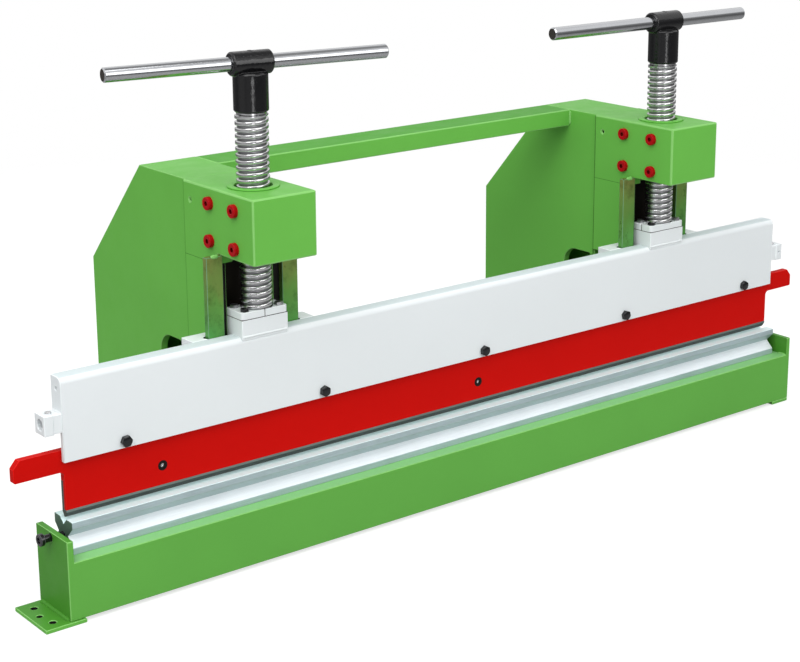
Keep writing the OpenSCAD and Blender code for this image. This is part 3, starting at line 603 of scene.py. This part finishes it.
def make_world():
    """Studio that lights the object: bright above, behind and to the left, grey at the front
    and right horizon. The camera and rays through clear pieces see white."""
    world = bpy.data.worlds.new("world")
    bpy.context.scene.world = world
    world.use_nodes = True
    tree = world.node_tree
    tree.nodes.clear()
    out = tree.nodes.new("ShaderNodeOutputWorld")
    across, depth, height = separated(tree, "Generated")
    rise = spread(tree, height, 0, 1, -1, 1)
    sky = ramp(tree, rise, [(at, (level, level, level)) for at, level in SKY_LEVELS])
    above = spread(tree, height, 0, 1, *HORIZON_FROM_TO)
    back = product(tree, spread(tree, depth, 0, BACK_LEVEL, *BACK_FROM_TO), above)
    left = spread(tree, across, 0, LEFT_LEVEL, *LEFT_FROM_TO)
    front = spread(tree, depth, 1, 0, *FRONT_FROM_TO)
    low_front = product(tree, front, band(tree, height, *CARD_RISE, CARD_EASE_UP))
    card = product(tree, low_front, band(tree, across, *CARD_ACROSS, CARD_EASE_ACROSS), CARD_LEVEL)
    streak = product(tree, low_front, band(tree, across, *STREAK_ACROSS, STREAK_EASE), STREAK_LEVEL)
    studio = background(tree)
    level = combined(tree, "MAXIMUM", sky, back, left, card, streak)
    tree.links.new(level, studio.inputs["Strength"])
    plain = background(tree)
    path = tree.nodes.new("ShaderNodeLightPath")
    seen = combined(tree, "MAXIMUM", path.outputs["Is Camera Ray"], path.outputs["Is Transmission Ray"])
    tree.links.new(mixed_shader(tree, seen, studio, plain), out.inputs["Surface"])


# Floor, with the distances from its middle over which it fades
FLOOR_RADIUS = 6.0
FLOOR_SIDES = 96
FLOOR_DROP = 0.2 * MM
FLOOR_FADE = (0.9, 2.4)
FLOOR_GLOW = 0.66
FLOOR_TONE = 0.42
FLOOR_ROUGH = 0.9
FLOOR_GLOSS = 0.1


def make_floor():
    """Pale floor that fades into the white background."""
    bm = bmesh.new()
    bmesh.ops.create_circle(bm, cap_ends=True, radius=FLOOR_RADIUS, segments=FLOOR_SIDES)
    mesh = bpy.data.meshes.new("floor")
    bm.to_mesh(mesh)
    bm.free()
    floor = new_object("floor", mesh)
    floor.location.z = -FLOOR_DROP
    mat, tree, shader = new_material("floor")
    shader.inputs["Base Color"].default_value = (FLOOR_TONE, FLOOR_TONE, FLOOR_TONE, 1)
    shader.inputs["Roughness"].default_value = FLOOR_ROUGH
    shader.inputs["Specular IOR Level"].default_value = FLOOR_GLOSS
    shader.inputs["Emission Color"].default_value = (1, 1, 1, 1)
    path = tree.nodes.new("ShaderNodeLightPath")
    glow = spread(tree, path.outputs["Is Camera Ray"], 0, FLOOR_GLOW, 0, 1)
    tree.links.new(glow, shader.inputs["Emission Strength"])
    space = tree.nodes.new("ShaderNodeTexCoord")
    length = tree.nodes.new("ShaderNodeVectorMath")
    length.operation = "LENGTH"
    tree.links.new(space.outputs["Object"], length.inputs[0])
    fade = spread(tree, length.outputs["Value"], 0, 1, *FLOOR_FADE)
    clear = tree.nodes.new("ShaderNodeBsdfTransparent")
    faded = mixed_shader(tree, fade, shader, clear)
    tree.links.new(faded, tree.nodes["Material Output"].inputs["Surface"])
    mesh.materials.append(mat)


def make_light():
    """Soft boxes above, to the front right and, weaker, to the left."""
    area_light("top_box", place=(-0.9, -0.8, 2.6), target=(-0.1, 0, 0.3), size=(2.4, 2.0), power=30)
    area_light("front_box", place=(0.6, -3.2, 1.5), target=(0.1, -0.1, 0.25), size=(2.6, 1.8), power=34)
    area_light("left_box", place=(-2.0, -1.0, 1.9), target=(-0.3, 0, 0.4), size=(1.2, 1.2), power=14)


# Threads

PITCH = 8 * MM
THREAD_STEPS, THREAD_SMOOTH = 60, 40
THREAD_DEPTH = 2.8 * MM
THREAD_EASE = 0.45 * MM
CREST_SHARE = 0.56
ROOT_SHARE = 0.2
ROUND_SHARE = 0.07
# Turns that the helix begins early and has to spare: both its ends are cut flat
EARLY_TURNS = 1.5
SPARE_TURNS = 3
# First stretch of the profile that takes painted shade: the root, and after it the flank of the next tooth
SHADED_STRETCH = 4
RELIEF_H = 3 * MM
RELIEF_R = 19 * MM


def thread_profile(radius):
    """Tooth of the thread as (share of the pitch, radius), crest edges eased."""
    flank = (1 - CREST_SHARE - ROOT_SHARE) / 2
    low_root = CREST_SHARE + flank
    return [(0, radius - THREAD_EASE), (ROUND_SHARE, radius), (CREST_SHARE - ROUND_SHARE, radius),
            (CREST_SHARE, radius - THREAD_EASE), (low_root, radius - THREAD_DEPTH),
            (low_root + ROOT_SHARE, radius - THREAD_DEPTH)]


def thread_corners(columns, step, stretch):
    """Corners of one face of a thread: a stretch of the profile between two steps. The last
    stretch ends on the next turn, and past the last turn there is none."""
    here, ahead = columns[step], columns[step + 1]
    if stretch < len(here) - 1:
        return [here[stretch], ahead[stretch], ahead[stretch + 1], here[stretch + 1]]
    above = step + THREAD_STEPS
    if above + 1 < len(columns):
        return [here[stretch], ahead[stretch], columns[above + 1][0], columns[above][0]]
    return []


def thread(side, start, stop):
    """Right-hand thread of a spindle between two heights."""
    low, high = span(side + "_screw")
    centre = SCREW[side]
    shape = thread_profile((high.x - low.x) / 2)
    turns = int((stop - start) / PITCH) + SPARE_TURNS
    bm = bmesh.new()
    columns = []
    for step in range(turns * THREAD_STEPS + 1):
        angle = 2 * math.pi * step / THREAD_STEPS
        column = []
        for share, r in shape:
            z = start + PITCH * (step / THREAD_STEPS - EARLY_TURNS + share)
            z = min(max(z, start), stop)
            column.append(bm.verts.new((centre.x + r * math.cos(angle), centre.y + r * math.sin(angle), z)))
        columns.append(column)
    for step in range(len(columns) - 1):
        for stretch in range(len(shape)):
            corners = thread_corners(columns, step, stretch)
            heights = [vert.co.z for vert in corners]
            if corners and max(heights) > min(heights):
                bm.faces.new(corners).material_index = 1 if stretch >= SHADED_STRETCH else 0
    bmesh.ops.delete(bm, geom=[v for v in bm.verts if not v.link_faces], context="VERTS")
    obj = finish_mesh(bm, side + "_thread", [turned, thread_root_shade], side + "_spindle", THREAD_SMOOTH)


def spindle(side):
    """Collar, neck, relief and spigot of a spindle turned in one, and its thread."""
    neck = 13 * MM
    spigot = 15 * MM
    collar = 18 * MM
    collar_h = 11.5 * MM
    chamfer = 1 * MM
    cap_gap = 0.3 * MM
    core_gap = 0.2 * MM
    low, high = span(side + "_screw")
    centre = SCREW[side]
    start = span(side + "_cap_halves")[1].z + cap_gap
    hub_low = span(side + "_hub")[0].z
    stop = hub_low - RELIEF_H
    core = (high.x - low.x) / 2 - THREAD_DEPTH - core_gap
    collar_top = low.z + collar_h
    bm = revolve([(0, low.z), (collar, low.z), (collar, collar_top), (neck, collar_top), (neck, start),
                  (core, start), (core, stop), (RELIEF_R - chamfer, stop), (RELIEF_R, stop + chamfer),
                  (RELIEF_R, hub_low), (spigot, hub_low), (spigot, high.z), (0, high.z)])
    moved(bm, Matrix.Translation((centre.x, centre.y, 0)))
    obj = finish_mesh(bm, side + "_spindle_core", [turned], side + "_spindle")
    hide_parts(side + "_screw")
    thread(side, start, stop)


# Hubs and bars

HUB_SMOOTH, HUB_VOXEL = 60, 0.6 * MM
BAR_CHAMFER, BAR_STEPS = 1.5 * MM, 72
# How far from a bar's end its vertices still count as the end
BAR_END = 4 * MM


def hub(side):
    """Hub cast as one piece: fine remesh of the node, then smoothed."""
    bm = cad_mesh(side + "_hub")
    obj = finish_mesh(bm, side + "_hub_casting", [black_cast], side + "_spindle", HUB_SMOOTH)
    remesh = obj.modifiers.new("skin", "REMESH")
    remesh.mode = "VOXEL"
    remesh.voxel_size = HUB_VOXEL
    remesh.use_smooth_shade = True
    smooth = obj.modifiers.new("soften", "SMOOTH")
    smooth.factor = 0.5
    smooth.iterations = 2
    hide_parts(side + "_hub")


def tbar(side):
    """Bright bar with chamfered, sawn ends."""
    low, high = span(side + "_tbar")
    radius = (high.z - low.z) / 2
    centre = (low + high) / 2
    turn = tbar_turn(side)
    axis = Vector((math.cos(turn), math.sin(turn), 0))
    half = max((v.co - centre).dot(axis) for v in nodes[side + "_tbar"].data.vertices)
    face_r = radius - BAR_CHAMFER
    side_end = half - BAR_CHAMFER
    bm = revolve([(0, -half), (face_r, -half), (radius, -side_end), (radius, side_end), (face_r, half),
                  (0, half)], BAR_STEPS)
    for face in bm.faces:
        if abs(face.normal.z) > FACING:
            face.material_index = 1
    matrix = Matrix.Translation(centre) @ Matrix.Rotation(turn, 4, "Z") @ quarter_turn("Y")
    obj = finish_mesh(moved(bm, matrix), side + "_bar", [tbar_steel, sawn_steel], side + "_spindle")
    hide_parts(side + "_tbar")


def tbar_turn(side):
    """Angle of a bar to the bed, from its vertices."""
    low, high = span(side + "_tbar")
    centre = (low + high) / 2
    points = [v.co for v in nodes[side + "_tbar"].data.vertices]
    right = [p for p in points if p.x > centre.x]
    far = max(right, key=lambda p: (p - centre).length)
    end = [p for p in right if (p - centre).length > (far - centre).length - BAR_END]
    mean = sum(end, Vector()) / len(end)
    return math.atan2(mean.y - centre.y, mean.x - centre.x)


# Bolts

# A hexagon's sides, the angle that each spans in degrees, and the points along it
HEX_SIDES, HEX_ANGLE, HEX_STEPS = 6, 60, 6
# Chamfer of a bolt head in degrees, and the flat crown's share of the width
CHAMFER_ANGLE = 30
CROWN_SHARE = 0.93


def quarter_turn(axis, sign=1):
    """Rotation by 90 degrees about an axis."""
    return Matrix.Rotation(sign * math.pi / 2, 4, axis)


def random_turn():
    """Rotation of a bolt about its own axis by up to one radian."""
    return Matrix.Rotation(random.uniform(0, 1), 4, "Z")


def hex_bolt(width, height):
    """Hexagon head with its round chamfer, standing on z = 0."""
    bm = bmesh.new()
    flat = width / 2
    rings = [[], [], []]
    crown = CROWN_SHARE * flat
    for side_index in range(HEX_SIDES):
        for k in range(HEX_STEPS):
            local = math.radians(-HEX_ANGLE / 2 + HEX_ANGLE * k / HEX_STEPS)
            angle = math.radians(HEX_ANGLE * side_index) + local + math.radians(HEX_ANGLE / 2)
            r = flat / math.cos(local)
            drop = max(0.0, r - crown) * math.tan(math.radians(CHAMFER_ANGLE))
            unit = Vector((math.cos(angle), math.sin(angle), 0))
            rings[0].append(bm.verts.new(unit * r))
            rings[1].append(bm.verts.new(unit * r + Vector((0, 0, height - drop))))
            rings[2].append(bm.verts.new(unit * crown + Vector((0, 0, height))))
    skin(bm, rings)
    return bm


def islands(node):
    """Centre, lowest and highest corner of each separate solid in a node, sorted by place."""
    bm = bmesh.new()
    bm.from_mesh(nodes[node].data)
    bmesh.ops.remove_doubles(bm, verts=bm.verts, dist=MERGE_GAP)
    unseen = set(bm.verts)
    out = []
    while unseen:
        stack = [unseen.pop()]
        group = [stack[0]]
        while stack:
            vert = stack.pop()
            for edge in vert.link_edges:
                other = edge.other_vert(vert)
                if other in unseen:
                    unseen.discard(other)
                    stack.append(other)
                    group.append(other)
        low = Vector([min(v.co[i] for v in group) for i in range(3)])
        high = Vector([max(v.co[i] for v in group) for i in range(3)])
        out.append(((low + high) / 2, low, high))
    bm.free()
    return sorted(out, key=lambda item: tuple(round(c, 4) for c in item[0]))


def punch_bolts():
    """Black hexagon bolts across the beam."""
    across = 13 * MM
    head = 5.5 * MM
    shank_r = 4 * MM
    shank = 16 * MM
    parts = []
    for centre, low, _ in islands("punch_bolts"):
        bolt = joined([hex_bolt(across, head), rod(shank_r, -shank, 0)])
        turn = quarter_turn("X") @ random_turn()
        parts.append(moved(bolt, Matrix.Translation((centre.x, low.y + head, centre.z)) @ turn))
    obj = finish_mesh(joined(parts), "beam_bolts", [black], "ram")
    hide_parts("punch_bolts")


def cap_bolts(side):
    """Hexagon bolts on the split cap: the front left one black, the others worn."""
    across = 10 * MM
    head = 4 * MM
    shank_r = 3 * MM
    parts = []
    for index, (centre, low, high) in enumerate(islands(side + "_cap_bolts")):
        bolt = joined([hex_bolt(across, head), rod(shank_r, low.z - (high.z - head), 0)])
        for face in bolt.faces:
            face.material_index = 0 if index == 0 else 1
        parts.append(moved(bolt, Matrix.Translation((centre.x, centre.y, high.z - head)) @ random_turn()))
    obj = finish_mesh(joined(parts), side + "_cap_hex_bolts", [black, worn_bolt], "ram")
    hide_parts(side + "_cap_bolts")


def socket_bolt(radius, height, socket, depth):
    """Socket head with a round rim and a hexagon socket, standing on z = 0."""
    rim = 1.2 * MM
    rim_steps = 6
    chamfer = 0.5 * MM
    drill_tip = 1 * MM
    round_steps = 60
    near = 0.1 * MM
    quarter = [math.radians(90 * i / rim_steps) for i in range(rim_steps + 1)]
    corner = [(radius - rim * (1 - math.cos(a)), height - rim * (1 - math.sin(a))) for a in quarter]
    floor = height - depth
    bore = [(socket + chamfer, height), (socket, height - chamfer), (socket, floor), (0, floor - drill_tip)]
    bm = revolve([(0, 0), (radius, 0)] + corner + bore, round_steps)
    half_side = math.radians(HEX_ANGLE / 2)
    for vert in bm.verts:
        if 0 < vert.co.xy.length < socket + near:
            angle = math.atan2(vert.co.y, vert.co.x) % math.radians(HEX_ANGLE) - half_side
            vert.co.xy *= math.cos(half_side) / math.cos(angle)
    bm.normal_update()
    # Faces inside the socket take the painted shade
    for face in bm.faces:
        place = face.calc_center_median()
        if place.xy.length < socket + PLANE_GAP and place.z < height - chamfer:
            face.material_index = 1
    return bm


def head_bolts(side):
    """Red socket-head bolts in the side of a head."""
    socket_r = 3.4 * MM
    socket_depth = 3 * MM
    node = side + "_head_bolts"
    face_x = span(side + "_head")[0].x
    parts = []
    for centre, low, high in islands(node):
        radius = (high.z - low.z) / 2
        turn = quarter_turn("Y", -1) @ random_turn()
        bolt = socket_bolt(radius, face_x - low.x, socket_r, socket_depth)
        parts.append(moved(bolt, Matrix.Translation((face_x, centre.y, centre.z)) @ turn))
    obj = finish_mesh(joined(parts), side + "_socket_bolts", [bolt_red, bolt_socket_shade], "base")
    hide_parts(node)


def blade_screws():
    """Sunk screws of the blade, each in a black ring of painted shade. Heights count from the plate's face.
    """
    shade_ring_rim = 3.4 * MM
    shade_ring_ease = 0.1 * MM
    shade_ring_lip = 0.4 * MM
    shade_ring_inset = 0.6 * MM
    shade_ring_depth = 1 * MM
    proud_inside, proud_outside = 0.05 * MM, 0.12 * MM
    sunk = 0.2 * MM
    screw_gap = 0.7 * MM
    screw_top = -1.2 * MM
    socket_r = 1.2 * MM
    socket_tip = -2 * MM
    steps = 40
    parts = []
    face_y = span("punch_plate")[0].y
    for centre, low, high in islands("blade_screws"):
        radius = (high.z - low.z) / 2
        inside = (radius - shade_ring_inset, -shade_ring_depth)
        shade_ring = revolve([inside, (radius - shade_ring_lip, proud_inside), (radius + shade_ring_rim, proud_outside),
                        (radius + shade_ring_rim + shade_ring_ease, -sunk), inside], steps)
        screw_r = radius - screw_gap
        screw_low = face_y - high.y
        core = revolve([(0, screw_low), (screw_r, screw_low), (screw_r, screw_top), (socket_r, screw_top),
                        (0, socket_tip)], steps)
        for face in core.faces:
            face.material_index = 1
        screw = joined([shade_ring, core])
        parts.append(moved(screw, Matrix.Translation((centre.x, face_y, centre.z)) @ quarter_turn("X")))
    obj = finish_mesh(joined(parts), "blade_screws_in_shade_rings", [painted_shade, turned], "ram")
    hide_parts("blade_screws")


# Welds

BEAD_STEP, BEAD_MIN_STEPS = 1.1 * MM, 6
BEAD_SIDES, BEAD_SMOOTH = 12, 70
RIPPLE_LENGTH = 3.4 * MM
# Shares of a bead's radius: ripples, their unevenness and the blunt tips
RIPPLE_SHARE, UNEVEN_SHARE, TIP_SHARE = 0.1, 0.05, 0.05


def bead(name, start, end, radius, mat, body="base"):
    """Painted weld bead along a line: a tube with ripples, rounded off at both ends."""
    start, end = Vector(start), Vector(end)
    along = end - start
    length = along.length
    turn = along.to_track_quat("Z", "Y").to_matrix()
    count = max(BEAD_MIN_STEPS, int(length / BEAD_STEP))
    bm = bmesh.new()
    rings = []
    for i in range(count + 1):
        share = i / count
        wave = RIPPLE_SHARE * math.sin(2 * math.pi * share * length / RIPPLE_LENGTH)
        ripple = 1 + wave + random.uniform(-UNEVEN_SHARE, UNEVEN_SHARE)
        into_end = max(0.0, abs(2 * share - 1) * length / 2 + radius - length / 2)
        closing = math.sqrt(max(0.0, 1 - into_end ** 2 / radius ** 2))
        r = radius * ripple * max(closing, TIP_SHARE)
        centre = start + along * share
        rings.append([bm.verts.new(centre + turn @ Vector((r * math.cos(a), r * math.sin(a), 0)))
                      for a in (2 * math.pi * k / BEAD_SIDES for k in range(BEAD_SIDES))])
    skin(bm, rings)
    finish_mesh(bm, name, [mat], body, BEAD_SMOOTH)


def base_welds():
    """Fillet on the left foot in the painted shade's green, and a short bead at the shelf's right end in
    the painted highlight's green.
    """
    foot_r = 3.4 * MM
    foot_inset = 3 * MM
    shelf_r = 1.8 * MM
    shelf_from, shelf_to = 1 * MM, 16 * MM
    low, high = span("end_plate_left")
    top = span("foot_left")[1].z
    bead("left_foot_weld", (low.x, low.y + foot_inset, top), (low.x, high.y - foot_inset, top), foot_r,
         green_low_shade)
    low, high = span("base_beam")
    bead("right_shelf_weld", (high.x, low.y + shelf_from, high.z), (high.x, low.y + shelf_to, high.z),
         shelf_r, green_highlight)


def bar_welds():
    """Beads round both ends of the cross bar."""
    low, high = span("cross_bar")
    r = 2.2 * MM
    for name, x in (("left", low.x), ("right", high.x)):
        # The right front bead carries the painted highlight
        front = green_highlight if name == "right" else green
        bead(name + "_bar_weld_front", (x, low.y, low.z + r), (x, low.y, high.z - r), r, front)
        bead(name + "_bar_weld_back", (x, high.y, low.z + r), (x, high.y, high.z - r), r, green)
        bead(name + "_bar_weld_under", (x, low.y + r, low.z), (x, high.y - r, low.z), r, green)


def strip_welds():
    """Blobs at the upper ends of the guide strips, in the green of the painted highlight."""
    radius = 2.6 * MM
    inset_left, inset_right = 7 * MM, 3 * MM
    depth = 1 * MM
    for side in SIDES:
        low, high = span(side + "_guide_strips")
        head_low, head_high = span(side + "_head")
        y = low.y + depth
        for name, x0, x1 in (("outer", low.x, head_low.x), ("inner", head_high.x, high.x)):
            bead(side + "_strip_weld_" + name, (x0 + inset_left, y, high.z), (x1 - inset_right, y, high.z),
                 radius, green_highlight)


def ram_welds():
    """Beads that hold the lugs and blocks on the beam."""
    radius = 1.6 * MM
    lug_inset_y, lug_inset_z = 2 * MM, 1 * MM
    beam_low, beam_high = span("ram_beam")
    for side, x in (("left", beam_low.x), ("right", beam_high.x)):
        low, high = span(side + "_lug")
        for name, z in (("top", high.z - lug_inset_z), ("under", low.z + lug_inset_z)):
            bead(side + "_lug_weld_" + name, (x, low.y + lug_inset_y, z), (x, high.y - lug_inset_y, z),
                 radius, white, "ram")
        low, high = span(side + "_screw_block")
        for name, y in (("front", max(low.y, beam_low.y)), ("back", min(high.y, beam_high.y))):
            bead(side + "_block_weld_" + name, (low.x, y, beam_high.z), (high.x, y, beam_high.z),
                 radius, white, "ram")


# Joint lines

def seam(name, low, high, mat, body="base"):
    """Dark line of a joint between two pieces: a thin bar between two corners."""
    bm = bmesh.new()
    bmesh.ops.create_cube(bm, size=1)
    size = Vector(high) - Vector(low)
    for vert in bm.verts:
        vert.co = Vector(low) + Vector([size[i] * (vert.co[i] + 0.5) for i in range(3)])
    finish_mesh(bm, name, [mat], body)


def frame_seams():
    """Joint lines where the columns meet the side plates and the heads. The line on the left
    side of a frame is named outer and the one on its right side inner, on both frames."""
    half = 0.5 * MM
    proud = 0.05 * MM
    sunk = 1 * MM
    for side in SIDES:
        head_low, head_high = span(side + "_head")
        columns = ("outer", "inner") if side == "left" else ("inner", "outer")
        places = (("outer", head_low.x, -1), ("inner", head_high.x, 1))
        line = seam_faint if side == "left" else seam_dark
        for column, (name, x, sign) in zip(columns, places):
            low, high = span(side + "_column_" + column)
            x0, x1 = sorted((x + sign * proud, x - sign * sunk))
            seam(side + "_tab_seam_" + name, (x0, low.y + half, high.z - half / 2),
                 (x1, high.y, high.z + half / 2), seam_dark)
            seam(side + "_plate_seam_" + name, (x0, high.y - 2 * half, low.z),
                 (x1, high.y + proud, head_high.z - sunk), line)


def cap_seams(side):
    """Joint lines between the cap halves and under the cap. The left cap is split from front
    to back and the right one from side to side."""
    half = 0.45 * MM
    proud = 0.03 * MM
    ring = 14 * MM
    low, high = span(side + "_cap_halves")
    centre = SCREW[side]
    seam(side + "_cap_seam", (low.x - proud, low.y - proud, low.z - half),
         (high.x + proud, high.y + proud, low.z + half), seam_grey, "ram")
    if side == "left":
        lines = [((centre.x - half, low.y - proud), (centre.x + half, centre.y - ring)),
                 ((centre.x - half, centre.y + ring), (centre.x + half, high.y + proud))]
    else:
        lines = [((low.x - proud, centre.y - half), (centre.x - ring, centre.y + half)),
                 ((centre.x + ring, centre.y - half), (high.x + proud, centre.y + half))]
    for name, (start, end) in zip(("near", "far"), lines):
        seam(side + "_split_" + name, (*start, low.z), (*end, high.z + proud), seam_grey, "ram")


def plate_seam():
    """Dark joint line of painted shadow where the lip of the beam ends on the punch plate."""
    inset = 3 * MM
    proud = 0.1 * MM
    sunk = 1 * MM
    below, above = 0.7 * MM, 0.2 * MM
    beam_low, beam_high = span("ram_beam")
    front = span("punch_plate")[0].y
    seam("lip_seam", (beam_low.x + inset, front - proud, beam_low.z - below),
         (beam_high.x - inset, front + sunk, beam_low.z + above), painted_shade, "ram")


# Assembly

# Radii of the rounded edges
SHEET_EDGE = 1.0 * MM
HEAD_EDGE = 2.3 * MM
NUT_EDGE = 1.2 * MM
CROSS_BAR_EDGE = 1.6 * MM
WIDE_EDGE = 0.8 * MM
MACHINED_EDGE = 0.7 * MM
PLAIN_EDGE = 0.6 * MM
STOP_EDGE = 0.5 * MM
SMALL_EDGE = 0.4 * MM
LUG_SCREW_EDGE = 0.3 * MM
FINE_EDGE = 0.2 * MM


def faces_up(place, normal):
    """Rule that gives the third finish to faces that face up: painted highlight on the base beam's shelf,
    painted shade on the tops of the cross bar and the ram beam.
    """
    return 2 if normal.z > FACING else 0


def faces_up_or_sideways(place, normal):
    """Rule that gives the third finish, the painted shade of the low end plates and foot, to faces that
    face up, left or right.
    """
    return 2 if max(abs(normal.x), normal.z) > FACING else 0


def dress_column(side, name, flush):
    """A column plate, with painted shade on the faces that look inward or to the front."""
    node = side + "_" + name
    inward = 1 if middle(node).x < SCREW[side].x else -1

    def rule(place, normal):
        return 2 if max(normal.x * inward, -normal.y) > FACING else 0

    dress(node, [green, green_highlight, painted_shade], MACHINED_EDGE, flush=flush, rule=rule)


def dress_head(side, flush):
    """A head, with painted shade inside the small hole that is drilled in its side."""
    margin = 3 * MM
    hole_from, hole_to = 0.1 * MM, 14 * MM
    low, high = span(side + "_head")

    def rule(place, normal):
        in_wall = low.x + hole_from < place.x < low.x + hole_to and abs(normal.x) < STEEP
        edge = min(place.y - low.y, high.z - place.z, high.y - place.y, place.z - low.z)
        return 2 if in_wall and edge > margin and place.z > SCREW[side].z else 0

    dress(side + "_head", [green, green_highlight, painted_shade], HEAD_EDGE, 3, flush=flush, rule=rule)


def dress_frame(side):
    """A C-frame: plates, cover, columns, head, nut and strips."""
    cover_low, cover_high = span(side + "_frame_cover")
    cover_seams = [(0, cover_low.x), (0, cover_high.x)]
    head_low, head_high = span(side + "_head")
    head_back = (1, head_high.y)
    head_bottom = (2, head_low.z)
    for name in ("frame_plate_outer", "frame_plate_inner", "frame_cover"):
        dress(side + "_" + name, [green, green_highlight], SHEET_EDGE, flush=cover_seams)
    for name in ("column_outer", "column_inner"):
        dress_column(side, name, [head_bottom, head_back])
    dress_head(side, [head_back, head_bottom])
    dress(side + "_nut", [green], NUT_EDGE, 3)
    dress(side + "_guide_strips", [strip_steel, strip_edge_shade], PLAIN_EDGE)
    dress(side + "_column_web", [bare_web_in_shade], SMALL_EDGE)
    head_bolts(side)


def dress_die():
    """Die, one steel with painted light and shade by facing: painted highlight on top and on the groove
    flank that faces the front, though the blade shades it; lighter on the other faces that look up, painted
    shade at the ends and darker elsewhere."""
    groove = 9 * MM
    shallow = 12 * MM
    top_layer = 1 * MM
    low, high = span("die")
    centre_y = (low.y + high.y) / 2

    def rule(place, normal):
        in_top_groove = abs(place.y - centre_y) < groove and place.z > high.z - shallow
        if normal.z > FACING and place.z > high.z - top_layer:
            return 0
        if abs(normal.x) > FACING:
            return 3
        if normal.z > STEEP:
            # The groove flank that faces the front lies in the blade's shade but gets the painted highlight
            return 0 if in_top_groove and normal.y < 0 else 1
        return 2

    finishes = [die_land_highlit, die_up_lit, die_side_shade, die_end_shade]
    dress("die", finishes, MACHINED_EDGE, 3, rule=rule, edge_finish=LIKE_FACES)


def dress_left_foot():
    """Left foot plate: painted shade on top, and a darker painted shade inside its holes."""
    rim = 1 * MM
    low, high = span("foot_left")

    def rule(place, normal):
        edge = min(place.x - low.x, high.x - place.x, place.y - low.y, high.y - place.y)
        if abs(normal.z) < STEEP:
            return 2 if edge > rim else 0
        return 3

    dress("foot_left", [green, green_highlight, painted_shade, green_low_shade], WIDE_EDGE, 3, rule=rule)


def dress_base():
    """Everything that stands still."""
    base_low, base_high = span("base_beam")
    end_seams = [(0, base_low.x), (0, base_high.x)]
    dress("base_beam", [green_base_shade, green_highlight, green_top_highlit], SHEET_EDGE, 3, flush=end_seams, rule=faces_up)
    for node in ("end_plate_left", "end_plate_right", "foot_right"):
        dress(node, [green_base_shade, green_highlight, green_low_shade], SHEET_EDGE, 3, flush=end_seams,
              rule=faces_up_or_sideways)
    dress_left_foot()
    for side in SIDES:
        dress_frame(side)
    dress("cross_bar", [green, green_highlight, green_bar_top_shade], CROSS_BAR_EDGE, 3, rule=faces_up)
    dress_die()
    dress("die_stop", [turned], STOP_EDGE)
    dress("die_clamp_screw", [black, black_edge_worn_highlit], SMALL_EDGE)
    base_welds()
    bar_welds()
    strip_welds()
    frame_seams()


def dress_hooks(side):
    """Guide hooks, with painted shade in their slots."""
    reach = 6 * MM
    low, high = span(side + "_guide_strips")

    def rule(place, normal):
        beside = low.x - reach < place.x < high.x + reach and place.y < high.y + reach
        return 2 if beside and abs(normal.z) < STEEP else 0

    dress(side + "_guide_hooks", [white, white_highlight, painted_shade], MACHINED_EDGE, rule=rule)


def dress_beam():
    """The beam, with sharp edges left on its bolt holes."""
    rim = 4 * MM
    low, high = span("ram_beam")

    def bolt_hole(place):
        return low.x + rim < place.x < high.x - rim and low.z + rim < place.z < high.z - rim

    dress("ram_beam", [white, white_highlight, white_top_shade], WIDE_EDGE, skip=bolt_hole, rule=faces_up)


def dress_blade():
    """The punch blade: ground sides, painted shade on the bevels that face down and on the ends."""
    downward = -0.2

    def rule(place, normal):
        return 1 if normal.z < downward or abs(normal.x) > FACING else 0

    dress("punch_blade", [ground, blade_shade], FINE_EDGE, rule=rule, edge_finish=LIKE_FACES)


def dress_ram():
    """The beam and what moves with it."""
    dress_beam()
    for side in SIDES:
        dress(side + "_lug", [white, white_highlight], WIDE_EDGE)
    for side in SIDES:
        dress_hooks(side)
        for name in ("screw_block", "cap_halves"):
            dress(side + "_" + name, [white, white_highlight], MACHINED_EDGE)
        cap_bolts(side)
        cap_seams(side)
    dress("punch_plate", [red, red_highlight], PLAIN_EDGE)
    dress_blade()
    blade_screws()
    dress("lug_screws", [turned], LUG_SCREW_EDGE)
    punch_bolts()
    plate_seam()
    ram_welds()


def dress_spindles():
    """Screws, hubs and bars."""
    for side in SIDES:
        spindle(side)
        hub(side)
        tbar(side)
        dress(side + "_hub_grub", [black], FINE_EDGE)


def main():
    """Builds the scene."""
    make_camera()
    make_world()
    make_floor()
    make_light()
    dress_base()
    dress_ram()
    dress_spindles()
    bpy.context.scene.view_settings.view_transform = "Standard"


main()
